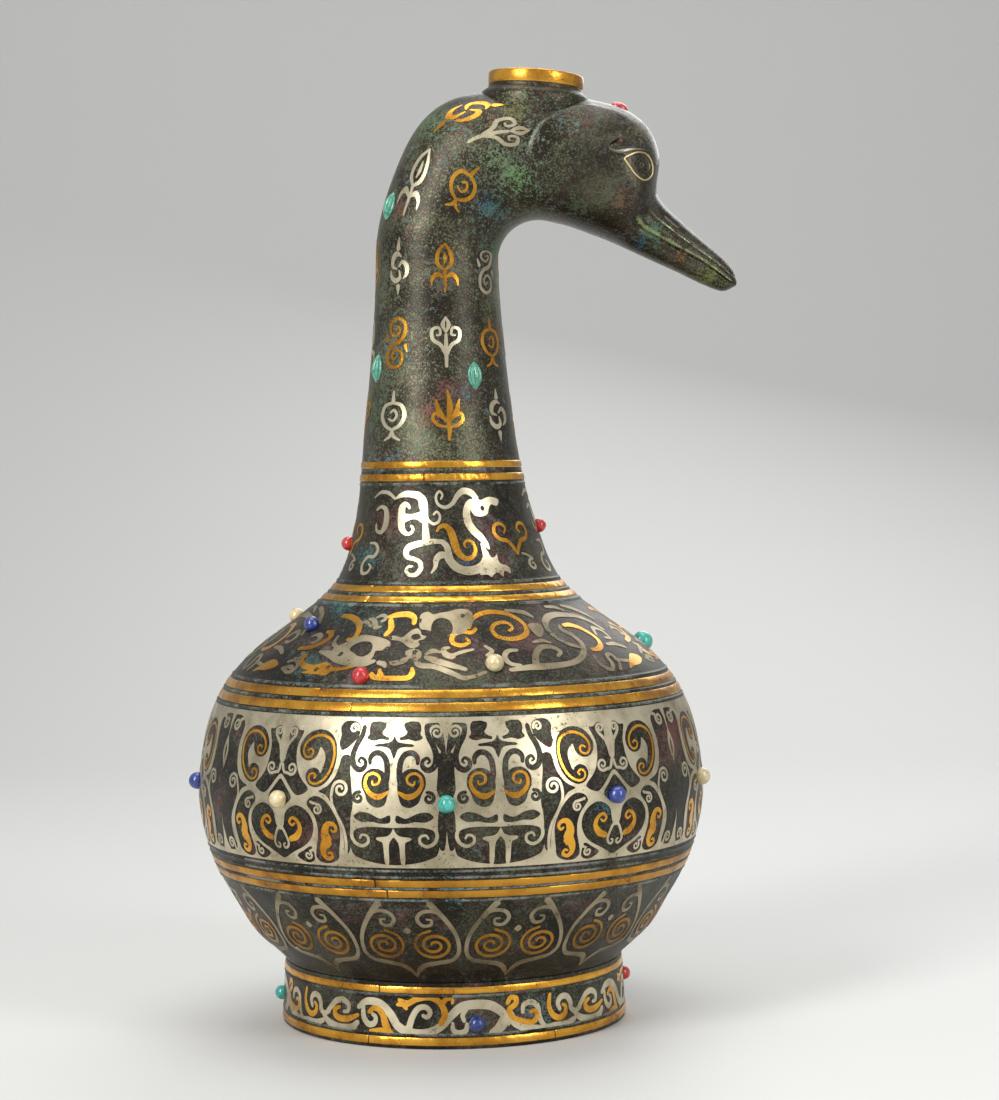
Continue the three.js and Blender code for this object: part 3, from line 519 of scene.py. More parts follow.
def tidy_normals(piece):
    pick(piece)
    bpy.ops.object.mode_set(mode="EDIT")
    bpy.ops.mesh.select_all(action="SELECT")
    bpy.ops.mesh.remove_doubles(threshold=0.002 * MM)
    bpy.ops.mesh.normals_make_consistent(inside=False)
    bpy.ops.object.mode_set(mode="OBJECT")


def settle(piece, material, nodes=(), angle=40):
    # Gives a finished piece its finish, its place on the vase and the solids that it stands for
    pick(piece)
    bpy.ops.object.transform_apply(location=True, rotation=True, scale=True)
    bpy.ops.object.shade_smooth_by_angle(angle=math.radians(angle))
    piece.data.materials.clear()
    piece.data.materials.append(material)
    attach(piece, "root")
    if nodes:
        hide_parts(*nodes)
    return piece


print("mesh helpers are ready")

# %% [markdown]
# ## Turned pieces
#
# A round piece is made as on a lathe: its cut face is drawn once as a line of points, and the spin tool
# sweeps the line round the axis. The ends meet, so doubled points are merged and the normals are made to
# point outwards. The neck leans, so the points are moved back a little by height at the end.

# %% Spin a cut face
BODY_STEPS = 288


def lathe(name, cut_face, steps, closed=True):
    # The cut face is a line of points, each a radius and a height
    points = [(r, 0, z) for r, z in cut_face]
    edges = [(i, i + 1) for i in range(len(points) - 1)] + ([(len(points) - 1, 0)] if closed else [])
    piece = mesh_object(name, points, [], edges)
    bpy.ops.object.mode_set(mode="EDIT")
    bpy.ops.mesh.select_all(action="SELECT")
    bpy.ops.mesh.spin(steps=steps, angle=2 * math.pi, center=(0, 0, 0), axis=(0, 0, 1))
    bpy.ops.object.mode_set(mode="OBJECT")
    tidy_normals(piece)
    return piece


def spun(name, cut_face, closed=True):
    # A turned piece of the body, moved to the vase's own axis
    piece = lathe(name, cut_face, BODY_STEPS, closed)
    for vertex in piece.data.vertices:
        vertex.co.x += (AXIS_X + float(lean(vertex.co.z / MM))) * MM
    return piece


def offset_rows(heights, lift):
    # Points of the side view at these heights, moved out of the wall by a lift
    heights = np.asarray(heights, float)
    lift = np.asarray(lift, float) + 0 * heights
    slope = radius_at(heights + 0.05) - radius_at(heights - 0.05)
    length = np.hypot(slope, 0.1)
    return list(zip(radius_at(heights) + lift * 0.1 / length, heights - lift * slope / length))


print("steps round the body:", BODY_STEPS)

# %% [markdown]
# ## Foot ring and body
#
# The foot is a standing wall with an inward seat, and the body is a thin shell with a floor. Beside each gold
# band runs a thin raised line, cast with the bronze, and the bands lie between two of them. The lines are
# drawn into the cut face as small bumps, so the spin makes them all the way round.

# %% Rows of points, close together at the raised lines
def raised(heights):
    lift = np.zeros(len(heights))
    for z in RAISED_LINES:
        lift = np.maximum(lift, 0.32 * np.exp(-((heights - z) / 0.33) ** 2))
    return lift


def rows(low, high, gap):
    plain = np.linspace(low, high, max(2, int((high - low) / gap) + 1))
    close = [z + d for z in RAISED_LINES for d in (-0.6, -0.3, 0, 0.3, 0.6) if low < z + d < high]
    return np.unique(np.round(np.concatenate([plain, close]), 3))


print("rows of the body:", len(rows(SEAT_Z, JOINT_Z, 1.7)))

# %% Spin the foot and the body
WALL = 3
SEAT_RADIUS, SEAT_UNDER, FOOT_INSIDE = 52, 17.2, 56
LIP_INSIDE, LIP_RADIUS, LIP_END = 47.7, 51.7, 18.5
FLOOR_RADIUS, FLOOR_TOP = 57, SEAT_Z + WALL
foot_edge = FOOT_TOP_RADIUS + FOOT_SPREAD
foot_rows = rows(0.9, FOOT_HEIGHT, 2.0)
foot_cut = ([(foot_edge - 0.6, 0), (foot_edge - 0.2, 0.3)] + offset_rows(foot_rows, raised(foot_rows))
            + [(SEAT_RADIUS, FOOT_HEIGHT), (SEAT_RADIUS, SEAT_UNDER + 0.4), (SEAT_RADIUS + 0.4, SEAT_UNDER),
               (FOOT_INSIDE - 0.6, SEAT_UNDER), (FOOT_INSIDE, SEAT_UNDER - 0.6), (FOOT_INSIDE, 0.6),
               (FOOT_INSIDE + 0.5, 0)])
foot = spun("foot_ring_cast", foot_cut)
settle(foot, BODY_BRONZE, ["foot_ring"])

body_top = JOINT_Z - 0.02
body_rows = rows(SEAT_Z, body_top, 1.7)
inner_rows = rows(FLOOR_TOP + 1, body_top, 5.5)[::-1]
body_cut = ([(0, SEAT_Z), (LIP_INSIDE, SEAT_Z), (LIP_INSIDE, LIP_END), (LIP_RADIUS, LIP_END),
             (LIP_RADIUS, SEAT_Z)] + offset_rows(body_rows, raised(body_rows))
            + [(JOINT_RADIUS - WALL, body_top)] + offset_rows(inner_rows[1:], -WALL)
            + [(FLOOR_RADIUS, FLOOR_TOP), (0, FLOOR_TOP)])
body = spun("body_cast", body_cut, closed=False)
settle(body, BODY_BRONZE, ["belly_shell"])
print("body faces:", len(body.data.polygons), "foot faces:", len(foot.data.polygons))

# %% [markdown]
# ## Gold bands
#
# Each band on the body is a flat gold strip hammered into a groove. Its cut face is a thin rectangle with
# rounded outer corners. A real strip is never quite even, so its outer points are moved in and out a little
# with the azimuth, and it has a few narrow joints where two lengths of strip meet.

# %% The bands' places, and the cut face of a strip
BANDS = {"gold_foot_lower": (1.2, 4), "gold_foot_upper": (18.6, 21), "gold_belly_lower": (54.8, 57.4),
         "gold_belly_upper": (58.4, 61), "gold_shoulder_lower": (115.9, 118.8),
         "gold_shoulder_upper": (120.2, 122.9), "gold_neck_base_lower": (150, 152),
         "gold_neck_base_upper": (153.2, 155.4), "gold_neck_ring_lower": (191.2, 193.8)}
STRIP_PROUD, STRIP_DEPTH = 0.26, 0.75


def band_cut(low, high):
    outer = np.array([low, low + 0.12, low + 0.4, (low + high) / 2, high - 0.4, high - 0.12, high])
    lift = STRIP_PROUD + np.array([0, -0.1, 0, 0.04, 0, -0.1, 0])
    lift[[0, -1]] = -0.05
    return offset_rows(outer, lift) + offset_rows(np.array([high, low]), -STRIP_DEPTH)


print("bands:", len(BANDS))

# %% Hammer and fit the strips
DENT, JOINT_DEPTH = 0.07, 0.45


def hammer(piece, seed, joints=0):
    # Dents are a sum of slow waves round the strip. Joints are narrow gaps where two lengths of it meet
    rng = np.random.default_rng(seed)
    waves = [(rng.integers(3, 90), rng.uniform(0.1, 1.6), rng.uniform(0, 6.3)) for _ in range(16)]
    step = 360 / BODY_STEPS
    gaps = rng.uniform(-20, 20, joints) + np.arange(joints) * 360 / max(joints, 1) - 30
    gaps = np.round(gaps / step) * step
    for vertex in piece.data.vertices:
        x, y, z = vertex.co / MM
        centre = AXIS_X + float(lean(z))
        angle, reach = math.atan2(x - centre, -y), math.hypot(x - centre, y)
        reach += DENT * sum(math.sin(n * angle + k * z + p) for n, k, p in waves) / 4
        for gap in gaps:
            off = (math.degrees(angle) - gap + 180) % 360 - 180
            if abs(off) < 0.4 * step:
                reach -= JOINT_DEPTH
            elif abs(off) < 1.4 * step:
                # The points beside the gap close in to about a third of a millimetre
                angle = math.radians(gap + math.copysign(20 / reach, off))
        height = z + 0.12 * DENT * math.sin(23 * angle + waves[0][2])
        vertex.co = Vector((centre + reach * math.sin(angle), -reach * math.cos(angle), height)) * MM


for number, (node, (low, high)) in enumerate(BANDS.items()):
    band = spun(node + "_strip", band_cut(low, high))
    hammer(band, number, joints=5)
    # The strips under the belly take the darker gold: painted shade.
    settle(band, SHADED_GOLD if "belly" in node else GOLD, [node])
print("strip faces:", len(band.data.polygons))

# %% [markdown]
# ## The bent neck
#
# The neck and head can't be spun, because their middle line bends. They are skinned instead: a row of oval
# cross-sections, each lying between a point on the back of the neck and one on the throat, is joined up by
# faces. The straight part is round, the bend swells a little on its outside, and the head's sections come
# from measured points along the crown and the throat.

# %% Sections of the neck and head
BEND_Z, BEND_END = 268.9, 108
PIVOT = np.array([AXIS_X + 33.6, BEND_Z])
THROAT, NECK_RADIUS, NAPE_RADIUS, TAPER = 14.5, 21.7, 22.6, 1.45
SWELL, SWELL_AT, SWELL_WIDTH = 3.1, 57, 21
HEAD_REACH, HEAD_WIDTH = 70.4, 43
HEAD_KEYS = [((0.449, 0.751), (0.152, 0.173), 1.0), ((0.564, 0.655), (0.273, 0.128), 0.94),
             ((0.614, 0.518), (0.374, 0.087), 0.79), ((0.605, 0.315), (0.45, 0.051), 0.5),
             ((0.72, 0.183), (0.565, -0.004), 0.38), ((0.835, 0.081), (0.696, -0.065), 0.32),
             ((0.93, -0.004), (0.832, -0.132), 0.26), ((0.984, -0.072), (0.932, -0.165), 0.19),
             ((1.0, -0.12), (0.994, -0.14), 0.05)]


def neck_radius(z):
    share = np.clip((z - JOINT_Z) / (BEND_Z - JOINT_Z), 0, 1)
    return NECK_RADIUS + (JOINT_RADIUS - NECK_RADIUS) * (1 - share) ** TAPER


def bend_section(angle):
    # Top point, bottom point and half width, in the vase's middle plane
    swell = SWELL * np.exp(-(((angle - SWELL_AT) / SWELL_WIDTH) ** 2))
    radius = NECK_RADIUS + (NAPE_RADIUS - NECK_RADIUS) * angle / BEND_END
    up = np.stack([-np.cos(np.radians(angle)), np.sin(np.radians(angle))], -1)
    top = PIVOT + up * (THROAT + 2 * radius + 2 * swell)[..., None]
    return top, PIVOT + up * THROAT, radius


def straight_section(z):
    radius, middle = neck_radius(z), AXIS_X + lean(z)
    return np.stack([middle - radius, z], -1), np.stack([middle + radius, z], -1), radius


key_top, key_bottom, key_half = [list(x) for x in bend_section(np.array([BEND_END - 12.0, BEND_END]))]
for top, bottom, width in HEAD_KEYS:
    key_top.append(PIVOT + np.array(top) * HEAD_REACH)
    key_bottom.append(PIVOT + np.array(bottom) * HEAD_REACH)
    key_half.append(width * HEAD_WIDTH / 2)
SPANS = len(key_top) - 1
HEAD_LAST = SPANS - 1
FINE = 100
top_line = smooth_curve(key_top, SPANS * FINE + 1)
bottom_line = smooth_curve(key_bottom, SPANS * FINE + 1)
half_line = smooth_curve([(i, w) for i, w in enumerate(key_half)], SPANS * FINE + 1)[:, 1]


def head_section(number):
    at = (number + 1) * FINE
    index = np.arange(SPANS * FINE + 1)
    top = np.stack([np.interp(at, index, top_line[:, i]) for i in (0, 1)], -1)
    bottom = np.stack([np.interp(at, index, bottom_line[:, i]) for i in (0, 1)], -1)
    return top, bottom, np.interp(at, index, half_line)


print("neck radius at the bend:", neck_radius(BEND_Z), "head sections:", SPANS)

# %% The skin of the neck and head
# One number runs along them: the height in mm up to the bend, then degrees of bend, then the head's sections
BEND_SCALE, HEAD_SCALE = 0.637, 12.0
BEND_TOP = BEND_Z + BEND_END * BEND_SCALE


def head_along(number):
    return BEND_TOP + HEAD_SCALE * number


def neck_skin(angle, along, inset=0.0):
    angle, along = np.broadcast_arrays(np.asarray(angle, float), np.asarray(along, float))
    straight = straight_section(np.minimum(along, BEND_Z))
    bent = bend_section(np.clip((along - BEND_Z) / BEND_SCALE, 0, BEND_END))
    head = head_section(np.clip((along - BEND_TOP) / HEAD_SCALE, 0, HEAD_LAST))
    is_straight, is_bent = along <= BEND_Z, along <= BEND_TOP
    half = np.where(is_straight, straight[2], np.where(is_bent, bent[2], head[2]))
    is_straight, is_bent = is_straight[..., None], is_bent[..., None]
    top, bottom = [np.where(is_straight, straight[i], np.where(is_bent, bent[i], head[i])) for i in (0, 1)]
    up = top - bottom
    tall = np.linalg.norm(up, axis=-1) / 2
    up = up / (2 * tall[..., None])
    middle = (top + bottom) / 2
    rise = np.cos(np.radians(angle)) * (tall - inset)
    side = -np.sin(np.radians(angle)) * (half - inset)
    return np.stack([middle[..., 0] + up[..., 0] * rise, side, middle[..., 1] + up[..., 1] * rise], -1)


def skinned(name, rings, sides, caps=(False, False), marks=None):
    # A ring is one row of points. A cap closes the first or the last ring on its middle
    points = np.vstack(rings)
    faces = []
    for row in range(len(rings) - 1):
        for i in range(sides):
            j = (i + 1) % sides
            faces.append((row * sides + i, row * sides + j, (row + 1) * sides + j, (row + 1) * sides + i))
    for cap, row in ((caps[0], 0), (caps[1], len(rings) - 1)):
        if cap:
            middle = len(points)
            points = np.vstack([points, rings[row].mean(0)])
            faces += [(row * sides + i, row * sides + (i + 1) % sides, middle) for i in range(sides)]
    piece = mesh_object(name, points, faces)
    if marks is not None:
        layer = piece.data.attributes.new("crust", "FLOAT", "POINT")
        spare = np.zeros(len(points) - np.size(marks))
        layer.data.foreach_set("value", np.concatenate([np.ravel(marks), spare]))
    tidy_normals(piece)
    return piece


print("the nape at the bend's top:", np.round(neck_skin(0, BEND_TOP), 1))

# %% The raised edge where the head's feathers end
CREST = [(30, 339), (38, 335.8), (47, 333.2), (54, 331.2), (61, 328.8), (69, 326.8), (77, 325.2), (91, 323.2),
         (105, 322.8), (118, 324.4)]
CREST_LIFT, CREST_MARK = 0.95, 0.9


def crest(angle, along):
    # How far the skin is lifted, and how much pale crust lies on the edge
    side = np.minimum(angle % 360, 360 - angle % 360)
    past = along - np.interp(side, *np.array(CREST).T)
    here = np.clip((side - 26) / 10, 0, 1) * np.clip((122 - side) / 26, 0, 1)
    rise = np.clip(past / 1.4 + 0.5, 0, 1)
    lift = CREST_LIFT * rise * rise * (3 - 2 * rise) * np.exp(-np.clip(past, 0, 40) / 12) * here
    return lift, CREST_MARK * np.exp(-(past + 0.2) ** 2) * here * np.clip((104 - side) / 20, 0, 1)


def moved_out(angle, along, lift):
    # Points of the plain skin, moved away from the neck's middle line
    flat = neck_skin(angle, along)
    out = flat - (neck_skin(0, along) + neck_skin(180, along)) / 2
    out = out / np.linalg.norm(out, axis=-1, keepdims=True)
    return flat + out * lift[..., None]


def crested(angle, along):
    return moved_out(angle, along, crest(angle, along)[0])


print("the crest's edge runs from", CREST[0], "to", CREST[-1])

# %% Skin the neck
SIDES = 176
around = np.linspace(0, 360, SIDES, endpoint=False)
neck_low, neck_high = JOINT_Z + 0.02, BEND_TOP - 0.01
outer_along = np.concatenate([[neck_low], np.linspace(JOINT_Z + 0.6, 318, 88),
                              np.linspace(318.5, BEND_TOP - 0.4, 44), [neck_high]])
outer = [crested(around, s) for s in outer_along]
inner = [neck_skin(around, s, WALL) for s in np.linspace(neck_high, neck_low, 46)]
marks = [crest(around, s)[1] for s in outer_along] + [np.zeros(SIDES)] * (len(inner) + 1)
neck = skinned("neck_cast", outer + inner + [outer[0]], SIDES, marks=marks)
print("neck rings:", len(outer) + len(inner))

# %% Cut the mouth's hole in the bend
COLLAR_X, COLLAR_Z, COLLAR_TILT = PIVOT[0], 334.72, math.radians(4.6)
HOLE_RADIUS, DRILL_LENGTH, DRILL_DROP = 14.6, 40, 12
collar_frame = Matrix.Translation((COLLAR_X * MM, 0, COLLAR_Z * MM)) @ Matrix.Rotation(COLLAR_TILT, 4, "Y")
deselect()
bpy.ops.mesh.primitive_cylinder_add(vertices=96, radius=HOLE_RADIUS * MM, depth=DRILL_LENGTH * MM)
drill = bpy.context.object
drill.matrix_world = collar_frame @ Matrix.Translation((0, 0, -DRILL_DROP * MM))
pick(neck)
hole = neck.modifiers.new("hole", "BOOLEAN")
hole.operation = "DIFFERENCE"
hole.solver = "EXACT"
hole.object = drill
bpy.ops.object.modifier_apply(modifier=hole.name)
bpy.data.objects.remove(drill)
settle(neck, NECK_BRONZE, ["neck_tube"])
print("neck faces:", len(neck.data.polygons))

# %% [markdown]
# ## Mouth collar and gold rim
#
# The mouth is a short pipe that stands on the bend. Its skirt has to meet the bend all round, so it is spun
# long enough to run into the bend's wall, with a small flare where it was soldered on. Both pieces are turned
# upright on the lathe and tilted afterwards.

# %% Spin the collar and the rim, then tilt them
COLLAR_STEPS = 128
collar = lathe("mouth_collar_cast", [
    (12.7, -22), (13.0, -1.5), (15.3, -1.5), (16.6, -4.5), (16.75, -5.0), (16.8, -5.6), (17.4, -6.2),
    (18.4, -6.9), (19.4, -8.0), (19.6, -10), (18.9, -14), (17.6, -17), (15.2, -20)], COLLAR_STEPS)
rim = lathe("gold_rim_cap", [
    (12.75, -1.6), (12.75, -0.45), (13.1, -0.1), (13.5, 0.05), (16.2, 0.05), (16.6, -0.05), (16.9, -0.45),
    (16.95, -1.2), (16.9, -4.0), (16.7, -4.4), (15.2, -4.5), (15.2, -1.6)], COLLAR_STEPS)
for piece, finish, slot, node in ((collar, NECK_BRONZE, "patinated_bronze", "mouth_collar"),
                                  (rim, GOLD, "gold_inlay", "gold_rim")):
    piece.matrix_world = collar_frame
    settle(piece, finish, [node])
print("collar and rim faces:", len(collar.data.polygons), len(rim.data.polygons))

# %% The gold ring above the neck joint follows the leaning neck
ring_rows = [(195.7, -0.05), (195.85, 0.16), (196.1, 0.26), (197, 0.3), (197.8, 0.26), (198.05, 0.16),
             (198.2, -0.05), (198.2, -0.75), (195.7, -0.75)]
ring = skinned("gold_neck_ring_upper_strip",
               [neck_skin(around, z, -lift) for z, lift in ring_rows + ring_rows[:1]], SIDES)
hammer(ring, 60)
settle(ring, GOLD, ["gold_neck_ring_upper"])
print("ring faces:", len(ring.data.polygons))

# %% [markdown]
# ## The goose head
#
# The head is skinned over its own sections, closed at the bill's tip and hollow where the neck plugs in. Its
# modelling is done by moving the fine skin in and out: a groove for the closed bill, a ridge along it, the
# nostril, a hollow round the eye and a brow over it. Each is a smooth bump at a place on the skin, given by
# the angle from the crown and by how far along the head it lies.

# %% Bumps and grooves of the head
def near_line(value, centre, width):
    return np.exp(-((value - centre) / width) ** 2)


def between(value, low, high, soft=0.3):
    return 1 / (1 + np.exp(-(value - low) / soft * 4)) / (1 + np.exp((value - high) / soft * 4))


# Places along the head, and the angle from the crown there
GAPE_AT, GAPE, GAPE_STAIN = [2.9, 3.6, 4.5, 6.4, 9], [116, 110, 101, 87, 90], [109, 103, 94, 80, 84]
RIDGE_AT, RIDGE = [3.6, 5, 8], [66, 64, 60]
EYE_AT, EYE_SIDE = 2.44, 68.0


def head_relief(angle, number):
    side = np.minimum(angle, 360 - angle)
    gape, ridge = np.interp(number, GAPE_AT, GAPE), np.interp(number, RIDGE_AT, RIDGE)
    # The closed gape and the lower bill's edge
    lift = -0.75 * near_line(side, gape, 3.2) * between(number, 3.15, 8.7)
    lift += 0.30 * near_line(side, gape + 8, 5) * between(number, 3.3, 8.7)
    # The bill's ridge, the hollow above it, the nostril, and the bill's crown
    lift += 0.55 * near_line(side, ridge, 7) * between(number, 3.7, 8.3)
    lift -= 0.30 * near_line(side, 44, 9) * between(number, 4.1, 8.0)
    lift -= 0.60 * near_line(side, 47, 4) * near_line(number, 4.75, 0.3)
    lift += 0.35 * near_line(side, 0, 14) * between(number, 4.0, 8.3)
    # The hollow round the eye, the brow, the cheek, and the fold behind the eye
    lift -= 0.30 * near_line(side, EYE_SIDE, 15) * near_line(number, EYE_AT, 0.42)
    lift += 0.40 * near_line(side, 46, 8) * near_line(number, 2.1, 0.55)
    lift += 0.30 * near_line(side, 92, 14) * near_line(number, 2.9, 0.4)
    lift -= 0.30 * near_line(side, 62, 5) * near_line(number, 1.35, 0.22)
    return lift


print("the eye lies", round(head_along(EYE_AT), 1), "along and", EYE_SIDE, "degrees from the crown")


# %% Skin the head
def head_row(number):
    along = head_along(number) + 1e-4
    flat = neck_skin(around, along)
    out = flat - flat.mean(0)
    out /= np.linalg.norm(out, axis=1, keepdims=True)
    lift = head_relief(around, number) + crest(around, np.full(SIDES, along))[0]
    return flat + out * lift[:, None]


def head_marks(number):
    # Pale crust under the gape and on the crest's edge, and along the bill's ridge a pale line that is crust
    # and painted highlight
    side = np.minimum(around, 360 - around)
    gape, ridge = np.interp(number, GAPE_AT, GAPE_STAIN), np.interp(number, RIDGE_AT, RIDGE)
    gape_mark = near_line(side, gape, 7 + 3 * between(number, 3.4, 5.4)) * between(number, 3.4, 8.9)
    ridge_crust_and_highlight = near_line(side, ridge, 4) * between(number, 4.3, 8.2)
    return 0.82 * gape_mark + 0.75 * ridge_crust_and_highlight + crest(around, np.full(SIDES, head_along(number)))[1]


hollow_at = (3.4, 3.0, 2.5, 2.0, 1.5, 1.0, 0.5, 0.001)
hollow_rows = [neck_skin(around, head_along(n) + 1e-4, WALL) for n in hollow_at]
outer_at = np.concatenate([[0.001, 0.03], np.linspace(0.07, 8.4, 128), np.linspace(8.45, 9, 14)])
outer_rows = [head_row(n) for n in outer_at]
marks = [np.zeros(SIDES)] * len(hollow_rows) + [head_marks(n) for n in outer_at]
head = skinned("goose_head_cast", hollow_rows + outer_rows, SIDES, (True, True), marks)
settle(head, HEAD_BRONZE, ["goose_head"], 60)
print("head faces:", len(head.data.polygons))

# %% [markdown]
# ## A patch of skin seen from the side
#
# The eye is drawn as it is seen from the side of the vase, in millimetres. The patch finds which small change
# of angle and distance along the head moves a point one millimetre across or up in that view.

# %% A flat patch near a point of the head
def relieved(side, along):
    return moved_out(side, along, head_relief(side, (along - BEND_TOP) / HEAD_SCALE))


def patch(side, along):
    h = 0.4
    side, along = np.float64(side), np.float64(along)
    by_side = (neck_skin(side + h, along) - neck_skin(side - h, along))[[0, 2]] / (2 * h)
    by_along = (neck_skin(side, along + h) - neck_skin(side, along - h))[[0, 2]] / (2 * h)
    inverse = np.linalg.inv(np.stack([by_side, by_along], 1))
    home = relieved(side, along)[[0, 2]]

    def skin(u, v):
        aim = home + np.stack(np.broadcast_arrays(np.asarray(u, float), np.asarray(v, float)), -1)
        place = np.array([side, along]) + (aim - home) @ inverse.T
        for _ in range(6):
            miss = aim - relieved(place[..., 0], place[..., 1])[..., [0, 2]]
            place = place + 0.8 * miss @ inverse.T
        return relieved(place[..., 0], place[..., 1])
    return skin


eye_skin = patch(EYE_SIDE, head_along(EYE_AT))
print("the eye's middle:", np.round(eye_skin(0, 0), 1))


# %% Wires on a skin, and the other side of the head
def wire_on(name, skin, line, radius, lift, closed=True):
    # A wire of round section bent along a line drawn on the skin
    path = smooth_curve(line, 72, closed)
    low = lifted(skin, path[:, 0], path[:, 1], lift)
    out = lifted(skin, path[:, 0], path[:, 1], lift + 1) - low
    ahead = np.roll(low, -1, 0) - np.roll(low, 1, 0) if closed else np.gradient(low, axis=0)
    ahead /= np.linalg.norm(ahead, axis=1, keepdims=True)
    side = np.cross(out, ahead)
    thick = np.asarray(radius) * np.ones(len(path))
    rings = []
    for i in range(len(path)):
        turn = np.radians(np.arange(0, 360, 36))
        rings.append(low[i] + thick[i] * (np.cos(turn)[:, None] * out[i] + np.sin(turn)[:, None] * side[i]))
    if closed:
        return skinned(name, rings + [rings[0]], 10)
    return skinned(name, rings, 10, (True, True))


def mirrored(piece, name):
    # The vase's two sides are alike about its middle plane
    copy = copied(piece, name)
    for vertex in copy.data.vertices:
        vertex.co.y = -vertex.co.y
    tidy_normals(copy)
    return copy


print("wires and mirrored copies are ready")

# %% Eye wires and pupils
TEAR = [(-5.7, 2.35), (-3.5, 3.7), (-1.1, 4.65), (1.1, 4.65), (2.8, 3.7), (3.9, 1.9), (4.4, -0.6),
        (4.0, -3.0), (2.8, -4.35), (1.1, -4.9), (-0.8, -4.0), (-2.6, -2.3), (-4.0, -0.3), (-5.2, 1.35)]
wire = wire_on("eye_wire_front_loop", eye_skin, TEAR, 0.36, 0.10)
other_wire = mirrored(wire, "eye_wire_back_loop")
settle(wire, PALE_GOLD, ["eye_wire_front"])
settle(other_wire, PALE_GOLD, ["eye_wire_back"])

PUPIL_ACROSS, PUPIL_UP = 1.2, 0.1
turn = np.radians(np.arange(0, 360, 10))
rings = []
for reach, lift in ((2.5, -0.2), (2.4, 0.2), (2.1, 0.36), (1.75, 0.1), (1.5, 0.1), (1.1, 0.45), (0.7, 0.7),
                    (0.25, 0.8)):
    across, up = PUPIL_ACROSS + reach * np.cos(turn), PUPIL_UP + 1.15 * reach * np.sin(turn)
    rings.append(lifted(eye_skin, across, up, lift))
pupil = skinned("pupil_front_disc", rings, len(turn), (True, True))
other_pupil = mirrored(pupil, "pupil_back_disc")
settle(pupil, HEAD_BRONZE, ["pupil_front"])
settle(other_pupil, HEAD_BRONZE, ["pupil_back"])
print("eye faces:", len(wire.data.polygons), len(pupil.data.polygons))

# %% A raised lid over the eye, pale as a painted highlight, a dark slit above its back corner and one behind it, both near-black as painted shade
WIRE_POINTS = np.linspace(0, 1, 72)
lid_line = [(-11.1, 6.4), (-9.9, 5.3), (-7.9, 4.75), (-6, 4.9), (-3.5, 5.5), (-0.8, 5.8), (1.6, 5.7)]
lid_width = np.interp(WIRE_POINTS, [0, 0.2, 0.5, 0.75, 1], [0.3, 0.5, 0.75, 0.5, 0.25])
slit_line = [(-11.0, 6.9), (-9.9, 7.7), (-8.6, 8.6), (-7.2, 9.3), (-5.6, 9.3)]
slit_width = np.interp(WIRE_POINTS, [0, 0.4, 1], [0.3, 0.6, 0.25])
lower_slit_line = [(-8.2, 3.75), (-6.8, 3.6), (-5.2, 3.5)]
for name, line, width, lift, finish in (("lid", lid_line, lid_width, 0.05, LID_PAINTED_HIGHLIGHT),
                                        ("slit", slit_line, slit_width, -0.2, SLIT_PAINTED_SHADE),
                                        ("lower_slit", lower_slit_line, 0.32, -0.2, SLIT_PAINTED_SHADE)):
    piece = wire_on(name + "_front", eye_skin, line, width, lift, closed=False)
    for side_piece in (piece, mirrored(piece, name + "_back")):
        settle(side_piece, finish)
print("lid faces:", len(piece.data.polygons))

# %% [markdown]
# ## Stones
#
# A ball stone is modelled once, as a sphere made a little uneven, and copied to each place with its own mesh.
# It stands proud of the skin by more than half.

# %% Set the ball stones
# The stone, its azimuth, its diameter and its height
BALLS = {
    "bead_belly_front": ("turquoise", 0, 6, 86.5),
    "bead_belly_front_left": ("cream_stone", -38.5, 6, 86.5),
    "bead_belly_front_right": ("lapis", 38.5, 6, 86.5),
    "bead_belly_left": ("lapis", -81, 6, 86.5),
    "bead_belly_right": ("cream_stone", 77, 6, 86.5),
    "bead_belly_back_left": ("turquoise", -120, 6, 86.5),
    "bead_belly_back_right": ("turquoise", 118, 6, 86.5),
    "bead_belly_back_cream": ("cream_stone", -158.5, 6, 86.5),
    "bead_belly_back_lapis": ("lapis", 158.5, 6, 86.5),
    "bead_shoulder_coral": ("coral", -22, 6, 126.6),
    "bead_shoulder_cream": ("cream_stone", 13, 6.2, 130.2),
    "bead_shoulder_lapis": ("lapis", -55.5, 5.6, 141.6),
    "bead_shoulder_left_cream": ("cream_stone", -98, 5.6, 142.5),
    "bead_shoulder_turquoise": ("turquoise", 99, 7.4, 131.5),
    "bead_shoulder_back_coral": ("coral", 141, 6, 134),
    "bead_shoulder_back_turquoise": ("turquoise", -142, 6, 130),
    "bead_neck_left": ("coral", -84, 5, 169),
    "bead_neck_right": ("coral", 87, 5, 174.5),
    "bead_foot_left": ("turquoise", -86.5, 5, 9),
    "bead_foot_front": ("lapis", 8, 5.6, 8.5),
    "bead_foot_right": ("coral", 97, 5.2, 12.3),
    "bead_foot_back": ("turquoise", -172, 5.4, 9),
}
BALL_LIFT = 0.8
deselect()
bpy.ops.mesh.primitive_uv_sphere_add(segments=40, ring_count=24, radius=1)
ball = bpy.context.object
for vertex in ball.data.vertices:
    x, y, z = vertex.co
    vertex.co *= 1 + 0.012 * math.sin(3 * x + 2 * z) + 0.01 * math.sin(5 * y - 2 * x)
for node, (slot, azimuth, size, height) in BALLS.items():
    bead = copied(ball, node + "_ball")
    middle = Vector(lifted(body_skin, azimuth, height, BALL_LIFT)) * MM
    spin = Matrix.Rotation(math.radians(azimuth * 7), 4, "Z")
    bead.data.transform(Matrix.Translation(middle) @ spin @ Matrix.Scale(size / 2 * MM, 4))
    settle(bead, STONES[slot], [node])
bpy.data.objects.remove(ball)
print("ball stones:", len(BALLS))

